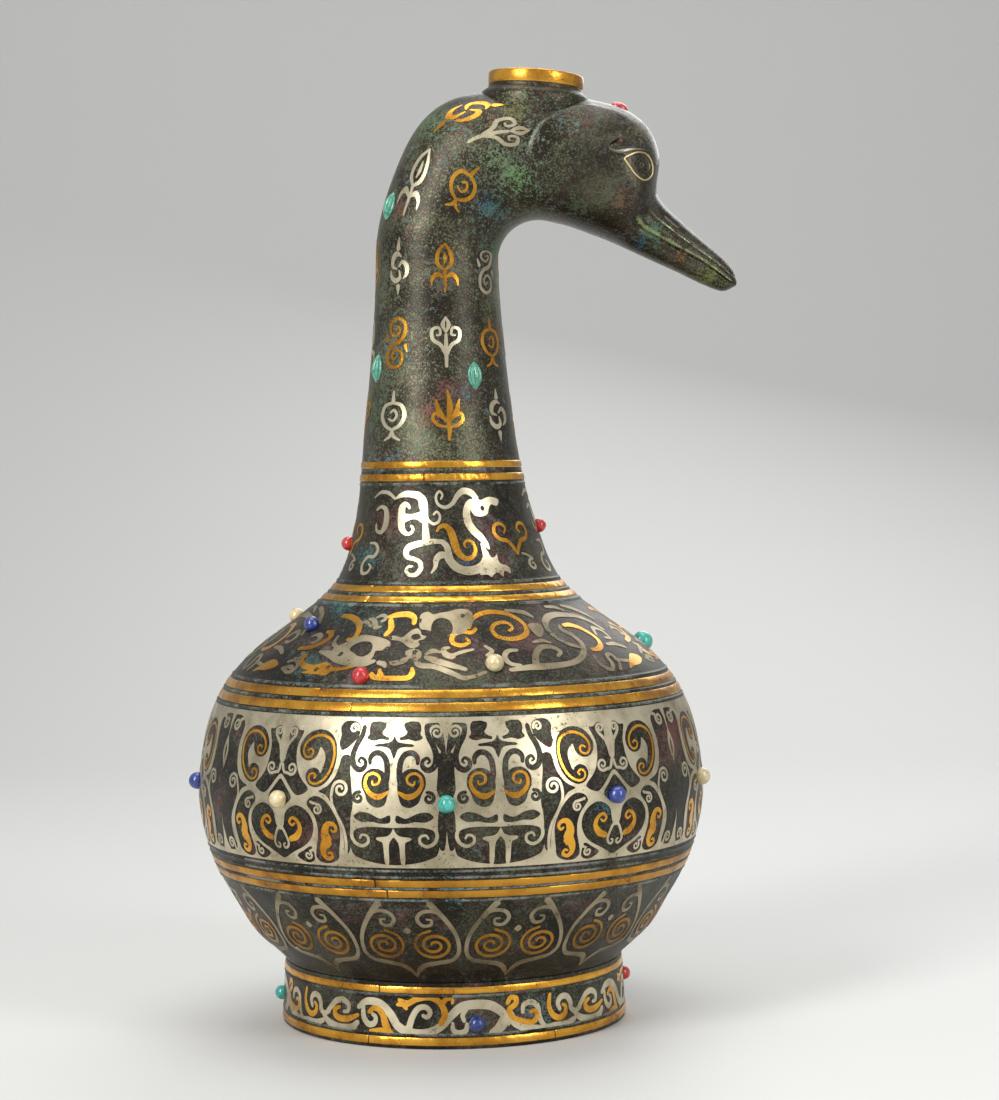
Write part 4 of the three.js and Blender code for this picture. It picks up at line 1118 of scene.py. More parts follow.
# %% [markdown]
# The six turquoise ovals on the neck are long and pointed, with shallow flutes from end to end. Each is made
# from a sphere: its ends are drawn out, and its rings are pinched between the ridges. The coral on the crown
# is a plain oval made the same way.

# %% Set the oval stones and the crown's coral
def oval_on(name, side, along, size, flutes, finish, nodes, sink=0.0):
    deselect()
    bpy.ops.mesh.primitive_uv_sphere_add(segments=48, ring_count=32, radius=1)
    oval = bpy.context.object
    oval.name = name
    here = neck_skin(side, along)
    ahead = neck_skin(side, along + 0.3) - here
    beside = neck_skin(side + 0.3, along) - here
    out = np.cross(beside, ahead)
    out, ahead = out / np.linalg.norm(out), ahead / np.linalg.norm(ahead)
    beside = np.cross(ahead, out)
    for vertex in oval.data.vertices:
        x, y, z = vertex.co
        turn = math.atan2(y, x)
        narrow = 1 - flutes * (1 - abs(math.cos(4 * turn))) * (1 - z * z)
        if flutes:
            narrow *= 1 - 0.42 * z * z
        place = here + beside * x * narrow * size[0] / 2 + out * (y * narrow * size[2] / 2 - sink)
        vertex.co = Vector(place + ahead * z * size[1] / 2) * MM
    tidy_normals(oval)
    settle(oval, finish, nodes, 50)


OVAL_SIZE, OVAL_FLUTES = (5.6, 10, 4.4), 0.24
CORAL_SIZE, CORAL_AT = (4.6, 6.4, 3.8), 0.81
bend_oval = BEND_Z + 20 * BEND_SCALE
OVALS = {"cabochon_upper_front": (30, bend_oval), "cabochon_upper_back": (-30, bend_oval),
         "cabochon_lower_front_left": (30, 230.95), "cabochon_lower_front_right": (122, 227.75),
         "cabochon_lower_back_left": (-30, 230.95), "cabochon_lower_back_right": (-122, 227.75)}
for node, (side, along) in OVALS.items():
    oval_on(node + "_stone", side, along, OVAL_SIZE, OVAL_FLUTES, OVAL_STONE, [node])
oval_on("crown_coral_stone", 0, head_along(CORAL_AT), CORAL_SIZE, 0.0, STONES["coral"],
        ["crown_coral"], 0.1)
print("oval stones:", len(OVALS) + 1)

# %% [markdown]
# ## Inlay: metal let into the bronze
#
# The scrolls are thin silver and gold let into channels in the bronze. Modelling each scroll by hand would
# take days, and a painted picture would have no edges. So each frieze is drawn flat, as a jeweller draws on
# paper: a ribbon is a smooth line with a changing width, and a blob is a smooth closed line. Later shapes
# lie over earlier ones, and a bare shape cuts the metal away again. The drawing is then cut into triangles
# along every outline, each triangle takes the metal of the topmost shape over it, and each metal becomes a
# thin solid.

# %% Drawing flat shapes
BARE, SILVER_LEAF, GOLD_LEAF = 0, 1, 2


class Drawing:
    # Across is in degrees and along in mm. The scale is how many mm one degree is on this frieze
    def __init__(self, scale):
        self.scale = scale
        self.shapes = []

    def ribbon(self, metal, points, widths):
        path = np.array(points, float) * (self.scale, 1)
        length = np.linalg.norm(np.diff(path, axis=0), axis=1).sum()
        path = smooth_curve(path, int(length / 0.75) + 4)
        share = np.linspace(0, 1, len(path))
        half = np.interp(share, np.linspace(0, 1, len(widths)), widths) / 2
        ahead = np.gradient(path, axis=0)
        ahead /= np.linalg.norm(ahead, axis=1, keepdims=True) + 1e-9
        side = np.stack([-ahead[:, 1], ahead[:, 0]], 1) * half[:, None]
        tips = [path[-1] + ahead[-1] * half[-1] * 0.8, path[0] - ahead[0] * half[0] * 0.8]
        self.shapes.append((metal, np.vstack([path + side, [tips[0]], (path - side)[::-1], [tips[1]]])))

    def blob(self, metal, points, edge="smooth"):
        # smooth: a curve through the points. cut: straight sides with planed corners. halved: half an
        # outline, joined to its mirror image about the drawing's middle, then cut. sharp: left as it is
        path = np.array(points, float) * (self.scale, 1)
        if edge == "smooth":
            length = np.linalg.norm(np.diff(path, axis=0), axis=1).sum()
            path = smooth_curve(path, max(8, int(length / 0.9)), True)
        if edge == "halved":
            path = np.vstack([path, path[::-1][1:-1] * (-1, 1)])
        if edge in ("cut", "halved"):
            for _ in range(2):
                nexts = np.roll(path, -1, 0)
                pairs = np.stack([0.75 * path + 0.25 * nexts, 0.25 * path + 0.75 * nexts], 1)
                path = pairs.reshape(-1, 2)
        self.shapes.append((metal, path))

    def curl(self, metal, centre, radius, start, turns, widths, tail=()):
        # A spiral round a centre, from the outside in, after an optional tail that leads to it
        turn = np.radians(start) + np.linspace(0, 2 * math.pi * turns, max(5, int(abs(turns) * 9)))
        reach = radius * np.linspace(1, 0.22, len(turn))
        x, y = centre
        points = [(x + r * math.cos(a) / self.scale, y + r * math.sin(a)) for a, r in zip(turn, reach)]
        self.ribbon(metal, list(tail) + points, widths)

    def take(self, other, middle=0.0, both=False):
        # Copies another drawing's shapes to a new middle, and mirrored too where both is set
        for metal, shape in other.shapes:
            if both:
                self.shapes.append((metal, shape * (-1, 1) + (middle * self.scale, 0)))
            self.shapes.append((metal, shape + (middle * self.scale, 0)))


print("metals of a drawing:", BARE, SILVER_LEAF, GOLD_LEAF)

# %% [markdown]
# ## The belly frieze
#
# The wide silver band round the belly is pierced: the dark bronze shows through as the drawing. It repeats
# three times, each time with a pair of masks, then two hearts, and each half is the mirror of the other. So
# only one mask half, one heart half and what lies between them are drawn.

# %% One half of a mask
BELLY_SCALE = 1.536
mask = Drawing(BELLY_SCALE)
mask.blob(BARE, [
    (2.1, 112.4), (5.4, 112.7), (5.9, 110.6), (5.7, 109.0), (6.3, 107.7), (4.7, 106.7), (3.1, 107.3),
    (1.3, 107.0), (1.1, 107.8), (2.0, 108.3), (2.8, 109.4), (2.2, 110.8)])
mask.blob(BARE, [
    (0, 108.9), (0.5, 106.5), (2.4, 106.0), (4.4, 105.7), (4.3, 104.8), (2.4, 104.9), (0.9, 104.4),
    (0.4, 102.2), (0, 100.8)], "halved")
mask.ribbon(BARE, [
    (5.2, 99.4), (5.15, 101.4), (4.1, 102.9), (2.7, 102.6), (1.7, 100.8), (1.35, 98), (1.4, 94.8),
    (1.9, 92)], [1.2, 1.9, 1.9, 2.0, 2.0, 2.1])
mask.blob(BARE, [
    (0.9, 93), (1.6, 96), (3.2, 97.8), (5.2, 97.7), (6.7, 95.6), (6.95, 92.5), (6.1, 89.6), (5.4, 86.9),
    (3.6, 85.3), (1.9, 86.1), (1.1, 89.6)])
mask.ribbon(GOLD_LEAF, [
    (1.05, 90.4), (3.1, 88.8), (5.1, 90.0), (6.15, 93.0), (5.6, 95.7), (4.2, 96.4), (3.0, 95.1),
    (3.2, 93.3), (4.4, 92.7), (4.6, 93.9)], [0.8, 2.0, 1.6, 1.2, 0.9, 0.9, 0.8, 0.8, 0.7, 0.6])
mask.ribbon(BARE, [
    (7.0, 111.2), (7.4, 108.4), (8.6, 105), (9.2, 101.6), (8.7, 98.5), (7.4, 97.4), (6.3, 98.5),
    (6.3, 100.4), (7.3, 101.3), (7.8, 100.2), (7.3, 99.6)],
    [1.6, 1.9, 2.0, 2.1, 2.0, 1.8, 1.4, 1.1, 0.9, 0.7])
mask.curl(BARE, (7.6, 88.4), 2.0, 110, -1.3, [1.2, 1.3, 1.2, 0.9, 0.8])
mask.blob(BARE, [
    (0.7, 82.9), (2.7, 81.8), (5.2, 83.5), (7.3, 83.8), (8.6, 82.3), (7.0, 80.6), (4.7, 80.7),
    (2.7, 80.1), (0.7, 80.5)])
mask.blob(BARE, [
    (0, 79.2), (9.7, 79.0), (9.7, 70.0), (7.8, 68.3), (5, 67.0), (2, 66.4), (0, 66.2)], "halved")
mask.ribbon(SILVER_LEAF, [
    (-0.2, 79.3), (3.5, 79.5), (7.0, 79.2), (8.8, 78.1), (9.2, 75.9), (8.5, 73.6), (7.0, 72.6),
    (5.6, 73.9), (5.7, 75.8), (6.9, 76.3), (7.4, 75.2)],
    [1.1, 1.0, 1.0, 1.1, 1.2, 1.2, 1.1, 1.0, 0.9, 0.8, 0.7])
mask.blob(SILVER_LEAF, [
    (0, 78.9), (0.5, 76.9), (1.4, 75.8), (3.9, 75.6), (3.7, 74.6), (2.6, 74.1), (2.3, 73.2), (2.3, 66.0),
    (1.2, 66.0), (1.2, 73.2), (0.5, 74.9), (0, 75.8)], "halved")
print("mask shapes:", len(mask.shapes))

# %% One half of a heart, from its middle outwards
heart = Drawing(BELLY_SCALE)
heart.blob(BARE, [
    (0, 97.9), (0.8, 99.6), (1.0, 102.2), (1.6, 104.6), (1.1, 106.6), (1.2, 109.2), (1.7, 110.6),
    (2.7, 110.7), (3.8, 109.2), (5.3, 109.6), (4.6, 107.2), (3.8, 104.3), (3.9, 100.9), (4.2, 98.3),
    (4.9, 95.4), (6.0, 93.2), (7.9, 90.6), (7.0, 89.3), (5.6, 88.3), (4.4, 88.2), (2.9, 90.3),
    (1.4, 93.2), (0, 95.4)], "halved")
heart.curl(SILVER_LEAF, (2.1, 108.7), 1.6, -30, 1.3, [1.2, 0.9, 0.8, 0.7, 0.5],
           [(0.9, 104.2), (1.9, 105.9)])
heart.curl(SILVER_LEAF, (2.9, 96.9), 2.2, 225, 1.35, [1.0, 1.0, 0.9, 0.8, 0.7, 0.6],
           [(0.3, 98.2), (0.8, 95.6)])
heart.blob(BARE, [(0, 93.9), (1.3, 91.4), (3.7, 87.3), (2.0, 85.2), (0, 83.2)], "halved")
heart.blob(BARE, [
    (5.4, 106.7), (6.8, 108.8), (8.7, 109.8), (10.6, 109.8), (12.3, 108.8), (13.7, 106.4), (14.2, 103.1),
    (14.1, 99.5), (13.3, 95.7), (11.8, 92.7), (9.8, 91.2), (8.1, 91.6), (7.1, 93.0), (6.8, 95.1),
    (7.5, 96.9), (8.9, 97.6), (10.0, 96.9), (10.5, 95.9), (11.2, 98.4), (11.5, 101.0), (11.0, 102.9),
    (10.0, 104.3), (9.65, 102.4), (8.9, 100.7), (7.7, 99.8), (6.0, 100.1), (4.9, 101.9), (4.65, 104.3)])
heart.ribbon(GOLD_LEAF, [
    (6.9, 103.0), (7.6, 103.6), (8.3, 102.7), (7.9, 101.3), (6.7, 100.9), (5.8, 102.3), (5.9, 104.6),
    (7.1, 106.7), (9.1, 108.0), (11.2, 107.8), (12.9, 106.1), (13.6, 103.1), (13.4, 99.5), (12.5, 96.0),
    (11.0, 93.4), (9.1, 92.3), (7.9, 93.1), (7.7, 94.9), (8.6, 95.8), (9.4, 95.0), (9.0, 94.2)],
    [0.7, 0.7, 0.8, 0.85, 0.9, 0.85, 0.8, 0.7, 0.7])
heart.blob(BARE, [
    (0, 76.0), (0.9, 77.4), (1.3, 79.4), (1.5, 82.2), (2.9, 84.3), (5.0, 85.2), (7.4, 83.6), (8.9, 80.6),
    (9.1, 77.0), (7.9, 73.4), (6.0, 71.2), (3.6, 69.6), (1.4, 67.7), (0, 66.6)], "halved")
heart.ribbon(GOLD_LEAF, [
    (2.5, 73.4), (4.4, 74.6), (5.5, 77.3), (4.8, 79.9), (3.5, 80.7), (2.7, 79.3), (3.4, 78.2),
    (4.2, 79.0)], [1.8, 2.4, 1.7, 1.3, 1.0, 0.9, 0.8, 0.7])
heart.ribbon(SILVER_LEAF, [
    (-0.1, 78.0), (0.8, 76.6), (1.6, 74.2), (2.0, 72.0), (1.5, 70.6), (0.7, 70.4), (0.5, 71.5),
    (1.0, 71.9)], [1.1, 1.0, 0.9, 0.9, 0.8, 0.7, 0.6])
heart.blob(BARE, [
    (7.4, 85.7), (8.1, 87.6), (9.8, 88.4), (11.8, 87.2), (13.4, 84.7), (14.6, 81.7), (15.4, 78.1),
    (15.3, 74.5), (14.9, 71.0), (14.4, 67.8), (12.2, 66.2), (10.0, 66.4), (9.0, 68.0), (9.3, 71.0),
    (10.0, 75.1), (10.0, 78.7), (9.3, 81.9), (8.2, 84.0)])
heart.curl(SILVER_LEAF, (10.0, 84.0), 1.7, 60, -1.3, [0.9, 0.8, 0.7, 0.6], [(8.2, 86.4), (9.3, 85.9)])
heart.ribbon(GOLD_LEAF, [
    (12.2, 72.4), (11.7, 76.4), (12.5, 79.3), (13.8, 79.4), (14.5, 77.9), (13.9, 76.7), (13.3, 77.4)],
    [3.2, 3.0, 1.9, 1.4, 1.1, 0.9, 0.7])
heart.ribbon(GOLD_LEAF, [
    (12.4, 75.0), (11.2, 71.8), (10.9, 69.3), (11.9, 67.7), (13.1, 68.5), (12.7, 69.8), (12.0, 69.5)],
    [3.2, 2.8, 1.9, 1.4, 1.1, 0.9, 0.7])
heart.blob(BARE, [(3.9, 68.0), (6.0, 70.1), (8.0, 71.6), (8.5, 69.4), (8.4, 66.9), (6.4, 65.9)])
heart.curl(SILVER_LEAF, (6.9, 68.5), 1.6, 60, -1.2, [0.9, 0.8, 0.7, 0.6], [(8.7, 72.2), (8.4, 70.4)])
print("heart shapes:", len(heart.shapes))

# %% What lies between a mask and a heart, and between two hearts
scrolls = Drawing(BELLY_SCALE)
scrolls.blob(BARE, [
    (23.2, 101.6), (21.9, 102.4), (20.7, 101.6), (20.9, 97), (20.5, 93), (20.3, 90), (19.9, 86),
    (20.7, 81.5), (20.7, 70.8), (22.6, 69.0), (22.3, 74), (22.6, 78), (23.9, 82), (25.0, 86),
    (26.2, 88.9), (28.6, 89.9), (27.2, 90.9), (25.9, 92.0), (24.2, 95.2), (23.4, 99)], "cut")
scrolls.curl(SILVER_LEAF, (23.0, 91.0), 2.9, 0, 1.5, [1.1, 1.0, 1.0, 1.0, 1.0, 0.9, 0.8, 0.7],
             [(22.2, 68.6), (21.9, 74), (22.4, 78.6), (23.9, 83), (25.0, 87)])
scrolls.blob(BARE, [
    (19.3, 111.4), (20.3, 112.7), (23.0, 112.8), (24.0, 110.8), (23.6, 108.2), (23.9, 106), (23.2, 103.6),
    (22.3, 103.9), (20.8, 105.6), (19.4, 108.2)])
scrolls.curl(SILVER_LEAF, (20.7, 110.6), 1.7, 200, -1.3, [0.9, 0.8, 0.7, 0.6])
scrolls.blob(BARE, [
    (-0.2, 112.5), (4.5, 112.5), (4.8, 111), (4.2, 108.4), (3.3, 105.4), (2.0, 102.4), (1.7, 97.5),
    (1.95, 93), (2.0, 90.7), (1.3, 88.4), (1.4, 85.2), (1.9, 81.6), (1.85, 70.8), (-0.2, 71.6)], "cut")
scrolls.curl(SILVER_LEAF, (2.0, 109.5), 2.3, 0, 1.4, [0.9, 0.9, 0.9, 0.8, 0.7, 0.6],
             [(1.3, 103.2), (2.9, 106.6)])
scrolls.blob(BARE, [
    (60.2, 112.4), (57.2, 112.6), (55.4, 112.2), (53.6, 110.2), (53.5, 107.6), (54.1, 104), (54.2, 100),
    (53.6, 95.5), (52.4, 92.2), (50.8, 90.7), (48.7, 89.8), (51.1, 88.9), (52.3, 86), (53.6, 82),
    (54.7, 78), (54.9, 74), (54.5, 70.2), (54.8, 67.0), (60.2, 66.6)], "cut")
scrolls.curl(SILVER_LEAF, (54.8, 90.6), 2.9, 180, -1.5, [1.1, 1.0, 1.0, 1.0, 0.9, 0.8, 0.7],
             [(54.4, 70), (55.1, 74), (54.9, 78.6), (53.4, 83), (52.3, 87)])
scrolls.curl(SILVER_LEAF, (57.2, 109.6), 2.3, 140, 1.4, [1.1, 1.0, 0.9, 0.8, 0.6],
             [(53.0, 112.6), (55.3, 111.2)])
scrolls.curl(SILVER_LEAF, (57.0, 69.3), 2.1, 200, -1.4, [1.1, 1.0, 0.9, 0.8, 0.6],
             [(53.6, 66.0), (55.2, 66.8)])
scrolls.ribbon(SILVER_LEAF, [(60.3, 106), (59.2, 100), (60.3, 94)], [0.9, 1.3, 0.9])
print("scroll shapes:", len(scrolls.shapes))

# %% One sixth of the belly band: a silver sheet with all of these on it
MASK_AT, HEART_AT = 11.25, 38.5
belly = Drawing(BELLY_SCALE)
belly.blob(SILVER_LEAF, [(-1, 65), (61, 65), (61, 115), (-1, 115)], "sharp")
belly.take(scrolls)
belly.take(mask, MASK_AT, True)
belly.take(heart, HEART_AT, True)
print("belly shapes:", len(belly.shapes))

# %% [markdown]
# ## The other friezes
#
# The neck frieze and the shoulder frieze repeat three times, the foot scroll four times and the
# heart-shaped drops under the belly thirteen times. They are single silver and gold strokes let into the
# bronze, so nothing is pierced: each shape is a ribbon or a blob of metal, and a few bare spots make holes
# in them.

# %% Scrolls and a long-necked beast round the foot of the neck
neck_frieze = Drawing(0.57)
neck_frieze.ribbon(SILVER_LEAF, [
    (-31.7, 185.3), (-28.3, 186.3), (-24.2, 186.8), (-19.6, 186.7), (-15.4, 186.1), (-12.8, 184.6),
    (-12.3, 182.8), (-11.5, 180.5), (-11.2, 177.8), (-11.2, 175.2), (-11, 173), (-10.6, 170.9)],
    [0.7, 1.6, 2.1, 2.3, 2.6, 3.2, 3.4, 2.6, 1.9, 2.0, 2.5, 2.6])
neck_frieze.ribbon(SILVER_LEAF, [
    (-21.7, 181.8), (-22.3, 182.6), (-24.6, 183.3), (-26.9, 182), (-27.2, 179.8), (-27.2, 177.3),
    (-26.5, 175), (-24.4, 173.5), (-21.7, 173), (-19.5, 173.8), (-19, 174.9), (-20.4, 175.8)],
    [0.8, 1.2, 1.8, 2.8, 3.0, 2.9, 2.5, 1.7, 1.1, 1.0, 0.9, 0.8])
neck_frieze.blob(SILVER_LEAF, [
    (-28.7, 180.2), (-23.7, 179.9), (-19.6, 179.8), (-15, 180.5), (-11.7, 180.9), (-11.2, 176.5),
    (-13.7, 176.9), (-16.7, 178), (-20, 178.1), (-22.9, 177.4), (-27.5, 176.5)])
for line, widths in (
        ([(-0.8, 170.3), (-6.7, 170.4), (-12.5, 169.9), (-17.9, 169.2), (-21.7, 168.2), (-22.8, 166.7),
          (-21.7, 165.1), (-17.9, 164.5), (-14.4, 163.4), (-13.5, 161.3), (-15.8, 159.2), (-19.6, 159.1),
          (-21.6, 160.5), (-20.6, 161.8), (-18.3, 161.9)],
         [1.4, 1.9, 2.2, 2.3, 2.0, 1.5, 1.4, 1.6, 1.5, 1.1, 0.9, 0.7]),
        ([(-1.7, 170.4), (1, 168.8), (1.9, 166.3), (2.9, 164), (5.8, 161.7), (10, 160.2)],
         [1.7, 2.0, 2.1, 2.1, 2.4, 2.6]),
        ([(1.7, 165.5), (-2.5, 165.7), (-5, 164.2), (-5.6, 161.7), (-7.7, 159.6)],
         [2.0, 2.4, 1.9, 1.2, 0.5]),
        ([(-32.5, 185.2), (-38, 187.2), (-45, 187.4), (-51.5, 185.6)], [1.0, 1.4, 1.2, 0.6]),
        ([(-48, 181.3), (-44, 182.4), (-39.8, 181.4), (-38.6, 178.5), (-39.2, 175.6), (-42, 173.6),
          (-46, 174.2), (-47, 176.3)], [0.8, 1.1, 2.0, 2.6, 2.4, 1.5, 1.0, 0.8]),
        ([(-50, 169.8), (-45, 169.6), (-42.5, 167.6), (-45, 165.2), (-50, 165), (-53.5, 162.2),
          (-51, 159.4), (-47, 159.6), (-45.6, 161.6), (-47.8, 162.6)],
         [0.7, 1.1, 1.3, 1.2, 1.2, 1.1, 0.9, 0.7]),
        ([(-10.8, 180), (-9.5, 177.8), (-6, 176.4), (-2.8, 177.2), (-1.9, 179.1), (-3.6, 180.6),
          (-5.9, 179.6)], [1.3, 1.0, 1.0, 0.9, 0.8, 0.7]),
        ([(-0.6, 184.9), (0.6, 186.4), (-1.2, 187.6), (-3.6, 186.1), (-3.0, 183.4), (1.5, 182.0),
          (6.5, 183.2), (10.4, 186.0), (14.5, 187.6), (19.8, 187.0), (23.6, 184.8)],
         [0.7, 0.8, 0.9, 0.9, 1.0, 1.2, 1.4, 1.8, 2.2, 2.4, 1.8]),
        ([(23, 183.6), (18.2, 183.4), (15.4, 180.6), (15.4, 177), (18.0, 174), (21.8, 171.6),
          (24.6, 169.2), (25.8, 167.6)], [2.2, 2.4, 2.6, 2.8, 2.8, 2.6, 1.6, 0.8])):
    neck_frieze.ribbon(SILVER_LEAF, line, widths)
neck_frieze.blob(SILVER_LEAF, [
    (21, 185.4), (26, 184.3), (31, 185.3), (36.5, 185.2), (40, 184.2), (37.6, 182.2), (33.4, 182.9),
    (31.2, 181.6), (29.5, 179.6), (25, 178.7), (20.4, 179.1), (18, 181.6)])
neck_frieze.blob(BARE, [(24.8, 181.6), (26.5, 182.6), (28, 181.6), (26.5, 180.5)])
neck_frieze.ribbon(SILVER_LEAF, [
    (0.8, 164.6), (5.6, 161.4), (12, 160.2), (19, 161.4), (22.6, 164.6), (22.2, 169.4)],
    [1.8, 2.6, 3.0, 2.8, 1.8, 1.4])
neck_frieze.blob(SILVER_LEAF, [
    (19, 162.4), (22.4, 163.8), (24.4, 167.8), (25.6, 164.4), (28.4, 164.6), (30.4, 166), (29.8, 163.4),
    (31.4, 162), (34.2, 161.9), (36.5, 160.6), (35.4, 158.6), (34, 159.6), (31.6, 160), (30.6, 157.4),
    (28.6, 159.4), (26, 159.2), (23.6, 157.6), (22, 159), (17, 158.4)], "cut")
neck_frieze.ribbon(GOLD_LEAF, [
    (-4.2, 173.8), (-2.6, 175.2), (0.8, 175.7), (3.6, 174.2), (5.2, 171.4), (6.4, 168), (9, 165.2),
    (12.5, 164.3), (16, 165.3), (17.6, 167.6), (16.4, 169.8), (13.5, 170.6), (11.2, 169.4), (12, 168.2)],
    [0.7, 1.2, 2.0, 2.7, 2.5, 2.0, 1.6, 1.3, 1.1, 1.0, 0.8, 0.6])
for sign in (1, -1):
    neck_frieze.ribbon(GOLD_LEAF, [(45 - sign * x, y) for x, y in (
        (6.8, 172.8), (5.0, 174.4), (7.6, 176.0), (12.2, 175.6), (13.8, 173.2), (11, 170.9), (5.4, 170.0),
        (2.4, 168), (0, 165.4))], [0.7, 0.9, 1.1, 1.2, 1.3, 1.4, 1.4, 1.4, 0.8])
neck_frieze.curl(SILVER_LEAF, (55, 161.6), 2.1, 60, 1.2, [0.7, 1.0, 1.0, 0.8, 0.6],
                 [(48.6, 165.6), (52, 165.2)])
print("neck frieze shapes:", len(neck_frieze.shapes))

# %% Long scrolls on the shoulder
shoulder = Drawing(0.86)
for line, widths in (
        ([(7.8, 141.6), (9.6, 144.4), (14, 146.2), (20, 146.4), (25, 145.3), (28.2, 142.6), (27.4, 139.8),
          (24, 138.2), (20, 137.9), (16.4, 139), (15.6, 141.2), (18, 142.8), (22, 142.9), (23.2, 141.4),
          (21.4, 140.4)], [0.9, 1.3, 1.2, 1.3, 1.2, 1.1, 0.9, 0.7]),
        ([(10.2, 141.4), (8.4, 140.2), (5.2, 140.6), (2.2, 139.4), (2, 137.2), (4.8, 136.3), (7.2, 137.4),
          (6.4, 138.4)], [0.9, 1.2, 1.3, 1.2, 1.0, 0.7]),
        ([(44.2, 141.2), (48, 141.2), (52, 139.4), (53.6, 136.9), (52.4, 134.6), (49.4, 133.3),
          (46.6, 133.2)], [0.9, 1.3, 1.3, 1.2, 1.3, 1.0]),
        ([(-44.3, 145.3), (-40, 145.1), (-36, 144.2), (-32.7, 142.6), (-31, 140.4), (-31.3, 138.3),
          (-33.3, 138)], [1.1, 1.4, 1.5, 1.6, 1.5, 1.3, 0.8]),
        ([(-44.6, 140.2), (-42, 139.8), (-40.8, 138.3), (-42, 136.8), (-45, 135.3), (-50, 134.6)],
         [0.8, 1.3, 1.5, 1.5, 1.4, 1.0]),
        ([(-11.6, 143.2), (-12, 144.9), (-14.2, 146), (-17.3, 146.1), (-20, 145.8), (-22.8, 145.2)],
         [1.3, 1.5, 1.6, 1.6, 1.6, 0.8]),
        ([(-21.3, 144.6), (-19.9, 142.8), (-19.3, 141.3), (-20.3, 139.6)], [1.2, 1.6, 1.7, 1.3]),
        ([(-44, 133), (-44.3, 131), (-42, 129.6), (-38.7, 128.9)], [0.8, 1.2, 1.4, 1.8]),
        ([(-32, 128.6), (-28, 129.2), (-25, 129.9)], [1.1, 0.9, 0.4])):
    shoulder.ribbon(GOLD_LEAF, line, np.array(widths) * 1.1)
